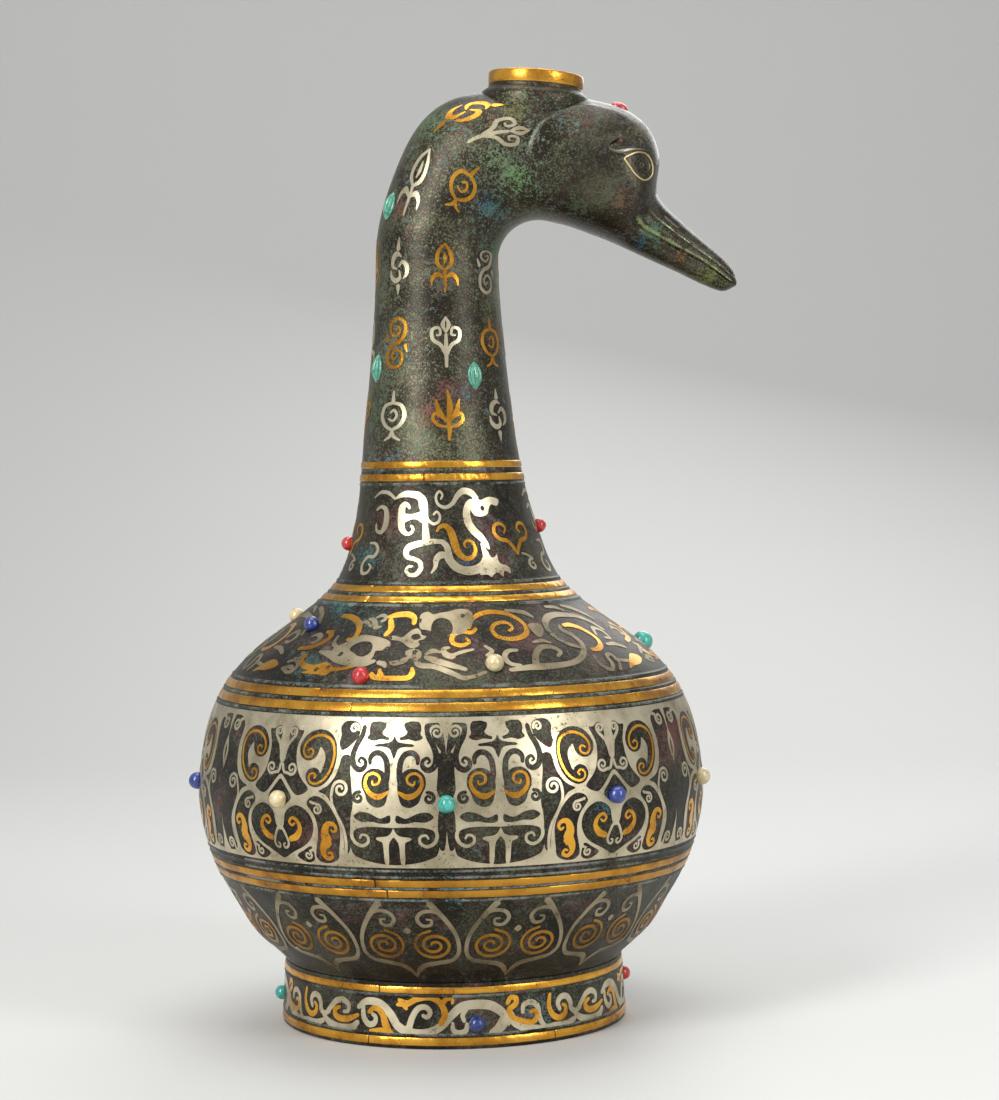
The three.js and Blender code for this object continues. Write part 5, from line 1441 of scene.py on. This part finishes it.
for line, widths in (
        ([(17, 128.4), (23, 129), (30, 129.1), (37.5, 130), (42.2, 132.4), (44.6, 135.6), (43.8, 138.4),
          (41.6, 139.9), (42.6, 141.2)], [0.9, 1.7, 1.3, 1.3, 1.3, 1.2, 0.8]),
        ([(42.4, 134.3), (38.8, 135.9), (36.4, 138.6), (36.6, 141.6), (40, 143.9), (45, 144.7),
          (50, 144.5), (57, 143.6), (61.6, 141.4), (63.6, 138.8)],
         [0.8, 1.1, 1.3, 1.5, 1.4, 1.2, 1.2, 1.0]),
        ([(24.6, 129.4), (25.8, 132.5), (28.6, 134.8), (32.4, 134.9), (34.4, 133.3), (32.6, 132)],
         [1.5, 1.2, 1.1, 0.7]),
        ([(21, 134.4), (18, 134.2), (16.5, 132.5), (17.4, 130.4), (20.4, 129.6)], [0.7, 1.1, 1.1, 0.8]),
        ([(23.8, 146.9), (27.5, 146.5), (32, 145.7), (34, 144.4)], [0.7, 0.9, 1.3, 0.8]),
        ([(45.2, 131.2), (45.4, 128.2), (48, 126.6), (50, 128.4), (50.4, 131), (52.6, 131.2),
          (53.4, 128.8), (51.6, 126.4)], [0.8, 1.0, 1.0, 0.9, 0.9, 0.8]),
        ([(52.6, 129.6), (56, 129), (60, 128.6)], [0.8, 0.9, 0.6]),
        ([(-30.3, 144.6), (-28.3, 144.3), (-26.7, 143.3), (-25.2, 141.9), (-23.3, 142.2)],
         [0.6, 1, 1.3, 1.2, 0.5]),
        ([(-27.3, 145), (-25.8, 145.7), (-23.8, 145.4), (-23.2, 144.4), (-24.5, 143.9)],
         [0.6, 0.9, 0.9, 0.9, 0.8]),
        ([(-40, 134.1), (-36, 133.5), (-31.3, 131.9), (-26.7, 131), (-22.3, 130.9), (-20, 131.6)],
         [0.6, 1.6, 2, 1.9, 1.6, 0.9]),
        ([(-8.7, 132.4), (-7, 130.4), (-3.3, 130), (0.3, 128.5), (5, 125.9)], [0.9, 1.3, 1.3, 1.3, 1]),
        ([(-5.7, 132.9), (-3.3, 132), (-0.7, 131), (2.3, 130), (5.3, 128.9)], [0.9, 1.6, 1.5, 1.3, 0.9]),
        ([(2, 132.9), (0, 133.6), (-0.7, 135.3), (1, 135.7)], [1.5, 1.4, 1, 0.6]),
        ([(-18.7, 131.3), (-17.2, 130.8), (-16.3, 129.8)], [1.2, 1.3, 0.6]),
        ([(-48, 131.6), (-46, 131.6), (-45.3, 132.9), (-47, 133.5)], [0.6, 1, 1, 0.8]),
        ([(-49.3, 128.6), (-46.7, 128.9), (-45, 128)], [0.7, 1.2, 0.6]),
        ([(-50, 128.4), (-46, 127.2), (-44.4, 129.4), (-46.6, 131), (-49.6, 130.4)], [0.8, 1.0, 0.9, 0.7]),
        ([(-34, 142.6), (-31, 143.6), (-27.4, 142.2)], [0.6, 0.9, 0.6]),
        ([(-38, 139), (-37, 136.6), (-34.6, 135.6)], [0.7, 1.0, 0.7]),
        ([(11.6, 136), (13.4, 134.4), (11.4, 133)], [0.6, 1.0, 0.6]),
        ([(55.6, 137.6), (58, 139.6), (61.6, 138.4), (61, 136.2), (58.4, 136.4)],
         [0.7, 1.0, 1.0, 0.8, 0.6]),
        ([(53.4, 147.4), (58, 146.6), (63.4, 144.6), (66.6, 142.4)], [0.7, 1.1, 1.2, 0.8]),
        ([(55.4, 134.4), (60, 134.2), (64, 132.8)], [0.7, 1.1, 0.8]),
        ([(-49.8, 138.6), (-47.4, 139.2), (-45, 138.2), (-45.2, 136.8), (-47.4, 136.6)],
         [0.5, 1.0, 1.2, 0.9, 0.5]),
        ([(-5.8, 133.6), (-4, 134.7), (-1.6, 134.3)], [0.5, 1.3, 0.6]),
        ([(27.4, 136.6), (30.8, 137.0), (33.2, 136.2)], [0.5, 1.0, 0.5]),
        ([(4.4, 142.6), (6.6, 143.6), (6.2, 145.2)], [0.5, 0.8, 0.5]),
        ([(43.6, 147.4), (49, 147.0), (52.4, 145.8)], [0.6, 1.0, 0.6])):
    shoulder.ribbon(SILVER_LEAF, line, np.array(widths) * 1.2)
print("shoulder ribbons:", len(shoulder.shapes))

# %% Broad clouds of silver on the shoulder, with dark pools and commas in them
for cloud in (
        [(-35.7, 135.3), (-33.3, 136.8), (-31.3, 138.3), (-28.7, 139.5), (-24.7, 139.3), (-21, 138.7),
         (-18.3, 137.9), (-16.9, 136.6), (-17.8, 135.1), (-19.7, 134.8), (-20.9, 134.7), (-20.9, 132.9),
         (-21.7, 131.5), (-24.7, 130.4), (-28.7, 130.4), (-32, 131.6), (-35, 132.9)],
        [(-19.2, 139.2), (-16.7, 139.4), (-14.2, 138.9), (-13, 140), (-11.7, 141.2), (-9.8, 141.7),
         (-8.5, 140.7), (-7.9, 139.6), (-6.3, 139.2), (-7.2, 138.2), (-8.7, 137.9), (-7.9, 136.5),
         (-9.7, 135.4), (-11.7, 136.2), (-13.3, 137.2), (-15.7, 137.9), (-18, 138.2)],
        [(-11.8, 134.7), (-10, 135.3), (-7.9, 135.1), (-6.8, 133.8), (-7.3, 132.3), (-9.3, 132.2),
         (-11.2, 133.2)],
        [(-15.7, 131.5), (-13.3, 131.9), (-11.7, 132.9), (-10.2, 132.7), (-10.8, 131.3), (-12.7, 130.4),
         (-14.7, 130.3)],
        [(-10, 145.6), (-9.2, 146.5), (-7, 146.9), (-5, 146), (-2.7, 146.5), (1.3, 147), (5.3, 147.7),
         (9.7, 146.9), (10, 144.1), (8, 141.9), (5, 139.8), (2, 139.7), (0, 139.2), (-2.7, 139.8),
         (-4.7, 140.7), (-6.7, 141.2), (-8.7, 141.5), (-9.6, 142.9)]):
    shoulder.blob(SILVER_LEAF, cloud)
for pool in (
        [(-29.8, 135.7), (-28.7, 136.9), (-26.3, 137.6), (-23.7, 137.2), (-22.5, 135.9), (-22.3, 134.4),
         (-23.7, 133), (-25.3, 132.9), (-28, 134.1), (-29.5, 134.8)],
        [(-16.7, 137.7), (-14.3, 137.7), (-12.3, 136.5), (-11.8, 135), (-12.7, 132.9), (-14.7, 132),
         (-16.7, 131.6), (-19, 131.9), (-20.7, 133.2), (-20.5, 134.6), (-19, 134.5), (-17.2, 135.6)],
        [(-11.3, 139.4), (-10.2, 140.1), (-8.5, 139.7), (-8.1, 138.6), (-9.5, 138.1), (-11, 138.5)],
        [(-4.7, 143.8), (-3.3, 144.7), (-1, 144.9), (1.5, 143.8), (2.3, 141.6), (1.5, 139.8),
         (-1.7, 138.9), (-4.7, 139.8), (-5.2, 141.9)]):
    shoulder.blob(BARE, pool)
for x, y, turn in (
        (-17.8, 135.5, 200), (-8.9, 134.3, 30), (-18, 138.6, 90), (-9.6, 144, 60), (-1.6, 133, 180),
        (6.2, 145.4, 0), (-31.8, 133.6, 220), (31.6, 140.4, 120)):
    shoulder.curl(BARE, (x, y), 0.7, turn, 1.2, [0.45, 0.5, 0.4])
shoulder.ribbon(SILVER_LEAF, [(2, 133.4), (5, 134.4), (8, 135)], [1.0, 1.0, 0.6])
shoulder.ribbon(SILVER_LEAF, [(3, 126.6), (6, 126.4), (10.4, 128)], [1.0, 1.2, 0.8])
shoulder.blob(SILVER_LEAF, [
    (29, 142.1), (32, 142.6), (35.2, 142.2), (34.2, 139.8), (30.6, 137.4), (29.6, 140)], "cut")
shoulder.blob(GOLD_LEAF, [
    (55.8, 126.2), (59, 127.0), (63.2, 127.3), (67, 129.0), (65.6, 130.2), (62.4, 130.7), (59.4, 129.2)])
shoulder.blob(GOLD_LEAF, [
    (-40, 129), (-36.7, 130.4), (-35, 130.9), (-32.7, 130.1), (-31.5, 128.6), (-32.8, 126.8), (-35, 127),
    (-41.7, 127.4), (-38.7, 128.3)])
shoulder.ribbon(GOLD_LEAF, [
    (-19.6, 128), (-18.8, 126.8), (-16.5, 126.4), (-12, 126.4), (-9.5, 126.6), (-8.7, 127.8),
    (-8.9, 129.6)], [0.8, 1.5, 1.6, 1.5, 1.6, 1.4, 0.7])
shoulder.ribbon(GOLD_LEAF, [(-17.7, 129.1), (-17.1, 127.6), (-16.6, 126.6)], [0.6, 1.5, 1.2])
for x, y in ((-33.2, 129.2), (-36.7, 128.4)):
    shoulder.curl(BARE, (x, y), 0.7, 40, 1.1, [0.4, 0.5, 0.4])
print("shoulder shapes:", len(shoulder.shapes))

# %% Drops under the belly, each with two spirals
drops = Drawing(1.31)
STEM = [(5.9, 53), (7.6, 50.4), (9.8, 46.6), (11.9, 42), (12.8, 38), (12.7, 34.4), (11.2, 32), (7, 30.7),
        (3.2, 29.6), (1.2, 27.6), (0, 25)]
HOOK = [(8.3, 49.4), (6.4, 50.2), (3.9, 49.6), (2.8, 47.3), (4, 44.9), (6, 45.2), (6.2, 46.9), (5, 47.2)]
turn, reach = 1.7 + np.linspace(0, 2 * math.pi * 2.2, 22), np.linspace(1, 0.14, 22)
spiral = [(6.5 + 5.4 * r * math.cos(a), 37.6 + 5.5 * r * math.sin(a)) for a, r in zip(turn, reach)]
for sign in (1, -1):
    for metal, line, widths in (
            (SILVER_LEAF, STEM, [2.2, 1.8, 1.5, 1.4, 1.4, 1.4, 1.4, 1.5, 1.8, 1.8, 0.7]),
            (SILVER_LEAF, HOOK, [1.4, 1.3, 1.3, 1.3, 1.1, 0.9, 0.7]),
            (GOLD_LEAF, spiral, [0.9, 1.1, 1.1, 1.0, 0.8])):
        drops.ribbon(metal, [(sign * x, y) for x, y in line], widths)
drops.blob(SILVER_LEAF, [(-1.0, 43), (0, 44.2), (1.0, 43), (0, 41.8)])
print("drop shapes:", len(drops.shapes))

# %% The running scroll on the foot
foot_scroll = Drawing(1.06)
for line, widths in (
        ([(-31.5, 13), (-28.5, 15.2), (-24, 15), (-20, 11.8), (-17.2, 7.6), (-13, 5.6), (-8, 5.6),
          (-3.6, 7.6), (0, 11.4), (3.4, 14.3), (8, 15), (13, 14.3), (16.6, 11.6), (18.4, 8)],
         [1.59, 2.38, 2.86, 2.86, 2.86, 3.02, 2.86, 2.69, 2.69, 3.02, 3.17, 3.17, 2.86, 2.22]),
        ([(-13.6, 7.2), (-12.4, 11), (-10.4, 13.9), (-8, 14.2), (-6.7, 12.5), (-7.7, 10.9), (-9.1, 11.5)],
         [2.22, 2.07, 1.9, 1.74, 1.59, 1.27]),
        ([(-29.6, 13.6), (-29.3, 9.8), (-27.4, 7.6), (-25.4, 8.2), (-25, 10.2), (-26.3, 11.2)],
         [1.43, 2.07, 2.07, 1.59, 1.27]),
        ([(-52.6, 10.6), (-53.4, 13), (-52, 14.8), (-49.8, 14.8), (-48.2, 12.8), (-47.8, 10.2),
          (-46, 9.3), (-43.6, 10.4)], [1.43, 1.9, 2.07, 2.07, 1.9, 1.74, 1.59]),
        ([(-58, 5.4), (-55, 5.3), (-50, 5.5), (-46.4, 6.8)], [1.74, 2.69, 2.22, 1.74]),
        ([(-45, 9.4), (-42.6, 12.3), (-40.4, 14.3), (-37.5, 14.8), (-35.3, 13.2), (-35.7, 11.2),
          (-37.4, 10.9)], [1.74, 1.9, 2.07, 2.07, 1.74, 1.43, 1.1]),
        ([(-46.6, 9), (-44.5, 7), (-41, 5.5), (-37, 5.2), (-33.5, 6.1), (-31.6, 8)],
         [1.59, 2.22, 2.86, 3.02, 2.54, 1.74]),
        ([(0.4, 9), (0.6, 6.6), (2.6, 5.5), (4.6, 6.4), (5, 8.8)], [1.1, 1.59, 2.07, 1.9, 1.1]),
        ([(4.2, 9.4), (3.6, 11.4), (5, 13.6)], [1.27, 1.59, 1.27]),
        ([(12.4, 5.4), (15.4, 6.8), (17, 9.2), (17.4, 12)], [1.27, 3.48, 3.81, 1.43]),
        ([(23.4, 11.2), (23.8, 13.6), (26.4, 14.5), (28.6, 13), (29.2, 10), (30, 7.4), (31.6, 5.6)],
         [1.27, 1.74, 1.9, 1.9, 1.74, 1.74, 1.27]),
        ([(19, 11.8), (20.4, 8.6), (23.4, 6.4), (27.4, 5.6), (31.4, 5.3)], [1.9, 3.02, 2.86, 2.22, 1.59])):
    foot_scroll.ribbon(SILVER_LEAF, line, widths)
for line, widths in (
        ([(-14.6, 14.9), (-10.4, 17.2), (-6, 17.4), (-3, 15), (-2, 11.5), (-3.4, 8.6)],
         [1.9, 2.22, 2.07, 2.07, 2.22, 1.9]),
        ([(-17, 16.6), (-15.4, 15.3), (-14.4, 13.4)], [1.1, 2.69, 1.1]),
        ([(-17.6, 14.8), (-15.4, 15.3), (-13.4, 15.8)], [1.1, 2.38, 1.43]),
        ([(-2.8, 15.6), (-1.3, 17.1), (0.4, 16.8), (0.4, 15.5)], [1.9, 1.59, 1.27, 0.95]),
        ([(-27.6, 11.6), (-25.4, 13.2), (-22.8, 11.8), (-21.6, 8.4), (-20.8, 5.8)],
         [1.27, 1.9, 2.22, 2.54, 3.02]),
        ([(-27, 5.5), (-23, 5.7), (-19.2, 5.4)], [1.1, 2.22, 1.27]),
        ([(-56.4, 16.4), (-57, 12.6), (-55.6, 9.2), (-53, 7.9), (-50.6, 9.2), (-50.4, 11.4),
          (-51.6, 12.2)], [1.27, 1.74, 2.07, 2.07, 1.9, 1.43, 1.1]),
        ([(-39, 12.3), (-41.1, 11.2), (-40.8, 9.3), (-38.4, 8.4), (-35, 8.8), (-31.5, 10.4)],
         [1.1, 1.9, 2.22, 2.22, 2.07, 1.27]),
        ([(18.2, 14.6), (19.4, 16.6), (21.2, 16.2), (21, 14.3), (18.8, 12.6), (19.6, 10.2), (23, 8.4),
          (26.8, 7.8), (28.6, 9.5), (27.7, 11.4), (26, 11.2)],
         [1.43, 1.74, 1.9, 1.9, 1.74, 1.9, 1.9, 1.59, 1.1])):
    foot_scroll.ribbon(GOLD_LEAF, line, widths)
print("foot scroll shapes:", len(foot_scroll.shapes))

# %% [markdown]
# ## From a flat drawing to metal
#
# A constrained triangulation makes triangles whose edges follow every outline, with some loose points
# between so that the sheet can bend round the vase. Whether a shape covers a triangle is found with its
# winding number: how often the outline turns round the triangle's middle. Then the flat sheet is copied
# round the vase, laid on the skin, and the solidify modifier gives it thickness down into the bronze.

# %% Cut a drawing into triangles
def turns_round(points, shape):
    nexts = np.roll(shape, -1, 0)
    x, y = points[:, :1], points[:, 1:]
    side = (nexts[:, 0] - shape[:, 0]) * (y - shape[:, 1]) - (x - shape[:, 0]) * (nexts[:, 1] - shape[:, 1])
    up = (shape[:, 1] <= y) & (nexts[:, 1] > y) & (side > 0)
    down = (shape[:, 1] > y) & (nexts[:, 1] <= y) & (side < 0)
    return up.sum(1) - down.sum(1)


def triangles(drawing, left, right, low, high, repeat=0, gap=4.0):
    edge = np.array([[left * drawing.scale, low], [right * drawing.scale, high]])
    shifts = (-repeat, 0, repeat) if repeat else (0,)
    shapes = [(metal, shape + (shift * drawing.scale, 0)) for metal, shape in drawing.shapes
              for shift in shifts]
    shapes = [(m, s) for m, s in shapes if (s.max(0) > edge[0]).all() and (s.min(0) < edge[1]).all()]
    columns = np.linspace(*edge[:, 0], max(2, int(np.ptp(edge[:, 0]) / gap)) + 1)
    levels = np.linspace(*edge[:, 1], max(2, int(np.ptp(edge[:, 1]) / gap)) + 1)
    frame = np.vstack([[(x, low) for x in columns], [(edge[1, 0], y) for y in levels[1:]],
                       [(x, high) for x in columns[::-1][1:]], [(edge[0, 0], y) for y in levels[::-1][1:-1]]])
    points, edges = [], []
    for shape in [frame] + [s for _, s in shapes]:
        start = len(points)
        points += [tuple(p) for p in shape]
        edges += [(start + i, start + (i + 1) % len(shape)) for i in range(len(shape))]
    points += [(x, y) for x in columns[1:-1] for y in levels[1:-1]]
    flat, _, faces, *_ = delaunay_2d_cdt([Vector(p) for p in points], edges, [], 0, 0.0005)
    flat, faces = np.array([tuple(p) for p in flat]), np.array(faces)
    middle = flat[faces].mean(1)
    metals = np.full(len(faces), BARE)
    inside = ((middle > edge[0]) & (middle < edge[1])).all(1)
    for metal, shape in shapes:
        near = inside & ((middle > shape.min(0)) & (middle < shape.max(0))).all(1)
        which = np.nonzero(near)[0]
        metals[which[turns_round(middle[which], shape) != 0]] = metal
    return flat / (drawing.scale, 1), faces, metals


print("drawings can be cut")

# %% Lay the metal on the vase
INLAY_PROUD, INLAY_DEPTH = 0.14, 0.5


def lay(name, cut_sheet, metal, skin, copies, finish, nodes=()):
    # A copy has its shift round the vase, a 1 or a -1 that mirrors it, and perhaps its height
    flat, faces, metals = cut_sheet
    used, chosen = np.unique(faces[metals == metal], return_inverse=True)
    chosen = chosen.reshape(-1, 3)
    places, sheets = [], []
    for shift, sign, *up in copies:
        sheets.append(chosen[:, ::sign] + len(places) * len(used))
        places.append(lifted(skin, flat[used, 0] * sign + shift, flat[used, 1] + sum(up), INLAY_PROUD))
    piece = mesh_object(name, np.vstack(places), np.vstack(sheets))
    weld = piece.modifiers.new("weld", "WELD")
    weld.merge_threshold = 0.004 * MM
    thick = piece.modifiers.new("thickness", "SOLIDIFY")
    thick.thickness = INLAY_DEPTH * MM
    thick.offset = -1
    for modifier in list(piece.modifiers):
        bpy.ops.object.modifier_apply(modifier=modifier.name)
    return settle(piece, finish, nodes, 35)


print("metal can be laid")

# %% The pierced silver sheet of the belly, and the gold in it
BELLY_LOW, BELLY_HIGH, BELLY_REPEATS = 65.3, 114.2, 3
belly_cut = triangles(belly, 0, 180 / BELLY_REPEATS, BELLY_LOW, BELLY_HIGH)
belly_copies = [(360 / BELLY_REPEATS * n, sign) for n in range(BELLY_REPEATS) for sign in (1, -1)]
sheet = lay("silver_belly_sheet", belly_cut, SILVER_LEAF, body_skin, belly_copies, SILVER,
            ["silver_belly_band"])
wires = lay("gold_belly_wires", belly_cut, GOLD_LEAF, body_skin, belly_copies, GOLD)
print("belly faces:", len(sheet.data.polygons), len(wires.data.polygons))

# %% The other friezes on the body
# Each has its drawing, left and right edge, lowest and highest height, period, and kind of silver
FRIEZES = {"neck_frieze": (neck_frieze, -57, 63, 157.6, 189.6, 120, SILVER),
           "shoulder": (shoulder, -53, 67, 124.8, 148.4, 120, DULL_SILVER),
           "foot_scroll": (foot_scroll, -58, 32, 4.6, 18.1, 90, SILVER)}
for name, (drawing, left, right, low, high, period, metal) in FRIEZES.items():
    cut_sheet = triangles(drawing, left, right, low, high, period)
    copies = [(period * n, 1) for n in range(round(360 / period))]
    silver = lay("silver_" + name, cut_sheet, SILVER_LEAF, body_skin, copies, metal)
    gold = lay("gold_" + name, cut_sheet, GOLD_LEAF, body_skin, copies, GOLD)
    print(name, len(silver.data.polygons), len(gold.data.polygons))

# %% The drops
DROP_COUNT, FIRST_DROP = 13, -10.4
drop_cut = triangles(drops, -13.8, 13.8, 24.5, 53.6)
drop_copies = [(FIRST_DROP + n * 360 / DROP_COUNT, 1) for n in range(DROP_COUNT)]
outlines = lay("silver_drops", drop_cut, SILVER_LEAF, body_skin, drop_copies, DULL_SILVER)
# The spirals take the darkest gold: painted shade for the belly's underside.
spirals = lay("gold_drop_spirals", drop_cut, GOLD_LEAF, body_skin, drop_copies, DROP_GOLD_SHADED)
print("drops", len(outlines.data.polygons), len(spirals.data.polygons))

# %% [markdown]
# ## Motifs on the neck
#
# Eight columns of single motifs stand round the neck, three to a column, and a few more lie on the bend. They
# are gold and silver in turn. Six are drawn, once each and in millimetres, from curls, commas and leaves.

# %% Draw the six motifs
NECK_SCALE = 0.4
WIDER, TALLER, BOLDER = 1.15, 1.36, 1.1


def motif(*strokes):
    # A stroke is a line, its widths, and whether it is drawn mirrored too
    drawing = Drawing(NECK_SCALE)
    for line, widths, both in strokes:
        for sign in (1, -1) if both else (1,):
            points = [(sign * WIDER * x / NECK_SCALE, TALLER * y) for x, y in line]
            drawing.ribbon(SILVER_LEAF, points, np.array(widths) * BOLDER)
    return drawing


S_SPIRAL = [(-0.3, 3.5), (0.8, 4.2), (1.3, 2.9), (-0.2, 1.8), (-2.2, 2.8), (-2.0, 5.2), (0.4, 6.3),
            (2.8, 5.2), (3.1, 2.6), (1.4, 0.5)]
WHIRL = np.array([(0.2, 0.5), (1.7, 1.7), (3.2, 0.6), (3.2, -1.4), (1.9, -2.6)])
TURN = [np.array([(np.cos(a), -np.sin(a)), (np.sin(a), np.cos(a))]) for a in np.radians([0, 120, 240])]
MOTIFS = [
    motif(([(0, -6.4), (0, -2), (0, 2)], [0.9, 1.4, 0.9], False),
          ([(0.2, -3.4), (1.6, -0.8), (3.9, 0.6), (4.0, 3.2), (2.1, 3.6), (1.7, 1.9), (2.8, 1.7)],
           [0.8, 1.2, 1.2, 1.1, 0.9, 0.8, 0.6], True),
          ([(0, 2.4), (0.9, 4.4), (0, 6.4)], [0.6, 1.4, 0.5], True)),
    motif((S_SPIRAL + [(-x, -y) for x, y in S_SPIRAL[::-1]],
           [0.6, 0.8, 0.9, 1.2, 1.3, 1.2, 0.9, 0.8, 0.6], False),
          ([(3.2, -0.6), (4.0, -2.4)], [1.3, 0.4], False), ([(-3.2, 0.6), (-4.0, 2.4)], [1.3, 0.4], False)),
    motif(([(0, -6.4), (0.2, -3), (0, -0.6)], [0.7, 1.2, 1.0], False),
          ([(0, -0.8), (2.2, 1.0), (2.0, 3.8), (0, 6.4)], [0.8, 1.4, 1.3, 0.6], True),
          ([(0, 0.9), (0.3, 2.4), (0, 4)], [0.5, 1.4, 0.5], False),
          ([(0.2, -2.8), (2.2, -1.8), (3.9, -2.9), (4.2, -4.6)], [0.7, 1.6, 1.2, 0.4], True)),
    motif(*[(WHIRL @ TURN[k], [0.5, 1.3, 1.7, 1.3, 0.4], False) for k in range(3)],
          ([(0, 6.6), (0, 4.4)], [0.4, 1.7], False), ([(0, -4.4), (0, -6.6)], [1.7, 0.4], False)),
    motif(([(0, -6.4), (0.3, -3.6), (0, -1)], [0.7, 1.3, 1.0], False),
          ([(0, -1.4), (0.6, 2.0), (0, 6.4)], [0.8, 1.9, 0.5], False),
          ([(0.3, -1.6), (2.2, 0.6), (3.2, 4.0)], [0.8, 1.8, 0.5], True),
          ([(0.2, -3.0), (2.4, -2.6), (4.0, -1.0), (3.4, 0.6), (2.6, -0.2)],
           [0.7, 1.1, 1.0, 0.8, 0.6], True)),
    motif(([(0, 6.4), (0, 3.4)], [0.6, 1.5], False),
          ([(0, 3.4), (2.8, 2.6), (3.8, 0), (2.4, -2.4), (0, -3.6)], [0.9, 1.2, 1.3, 1.2, 0.9], True),
          ([(-0.8, 0.8), (0.4, 1.5), (1.4, 0.2), (0.3, -1.2), (-1.4, -0.7)],
           [0.6, 0.9, 0.9, 0.8, 0.6], False),
          ([(0, -3.6), (0.6, -5.2), (2.4, -6.2)], [0.9, 1.1, 0.6], True))]
print("motifs drawn:", len(MOTIFS))

# %% Set the motifs in eight columns
COLUMNS, FIRST_COLUMN, ROWS = 8, 8, (214, 239.5, 265.5)
gold_places, silver_places = [[] for _ in MOTIFS], [[] for _ in MOTIFS]
for column in range(COLUMNS):
    for row, along in enumerate(ROWS):
        places = silver_places if (column + row) % 2 else gold_places
        places[(column * 5 + row * 2) % len(MOTIFS)].append((FIRST_COLUMN + 360 / COLUMNS * column, 1, along))
for sign in (1, -1):
    silver_places[2].append((sign * 53, sign, 289))
    gold_places[5].append((sign * 96, sign, 296))
    gold_places[3].append((sign * 45, sign, 310))
    silver_places[0].append((sign * 74, sign, 315))
for number, drawing in enumerate(MOTIFS):
    cut_sheet = triangles(drawing, -6 / NECK_SCALE, 6 / NECK_SCALE, -9.6, 9.6, gap=3)
    for places, metal, name in ((gold_places, GOLD, "gold"), (silver_places, SILVER, "silver")):
        if places[number]:
            lay(f"{name}_motif_{number + 1}", cut_sheet, SILVER_LEAF, crested, places[number], metal)
print("motifs:", sum(len(p) for p in gold_places + silver_places))

# %% [markdown]
# ## Floor and background
#
# The vase stands on a plain pale floor that curves up behind it, so no edge shows. The world is pale where
# the camera or a mirror-like surface looks at it, and dimmer as a lamp, so that the bronze keeps its depth.

# %% The floor
floor_finish = Finish("floor", 0.0, 0.6)
floor_finish.set("Base Color", (0.62, 0.62, 0.60, 1))
floor_finish.set("Roughness", 0.55 + floor_finish.noise(8) * 0.1)
# The side view of the floor in metres: flat, then a quarter round, then upright
FLOOR_BACK, ROUND, FLOOR_SIDE, WALL_TOP = 0.8, 0.7, 2.2, 2.4
sweep = [(y, 0.0) for y in (-1.6, -0.8, 0.0, FLOOR_BACK)]
sweep += [(FLOOR_BACK + ROUND * math.sin(a), ROUND - ROUND * math.cos(a))
          for a in np.linspace(0.1, math.pi / 2, 12)]
sweep += [(FLOOR_BACK + ROUND, WALL_TOP)]
floor_points = [(x * 1000, y * 1000, z * 1000) for y, z in sweep for x in (-FLOOR_SIDE, FLOOR_SIDE)]
floor_faces = [(2 * i, 2 * i + 1, 2 * i + 3, 2 * i + 2) for i in range(len(sweep) - 1)]
floor = mesh_object("floor", floor_points, floor_faces)
bpy.ops.object.shade_smooth()
floor.data.materials.append(floor_finish.material)
print("floor rows:", len(sweep))

# %% The world
AS_LAMP, AS_SEEN = 0.35, 0.62
world = bpy.data.worlds.new("studio")
bpy.context.scene.world = world
world.use_nodes = True
tree = world.node_tree
path = tree.nodes.new("ShaderNodeLightPath")
seen = tree.nodes.new("ShaderNodeMath")
seen.operation = "MAXIMUM"
tree.links.new(path.outputs["Is Camera Ray"], seen.inputs[0])
tree.links.new(path.outputs["Is Glossy Ray"], seen.inputs[1])
strength = tree.nodes.new("ShaderNodeMapRange")
tree.links.new(seen.outputs[0], strength.inputs[0])
# Inputs 3 and 4 are the values that 0 and 1 are turned into
strength.inputs[3].default_value = AS_LAMP
strength.inputs[4].default_value = AS_SEEN
backdrop = tree.nodes["Background"]
backdrop.inputs["Color"].default_value = (0.96, 0.98, 1.0, 1)
tree.links.new(strength.outputs[0], backdrop.inputs["Strength"])
print("world strength:", AS_LAMP, "as a lamp,", AS_SEEN, "as seen")
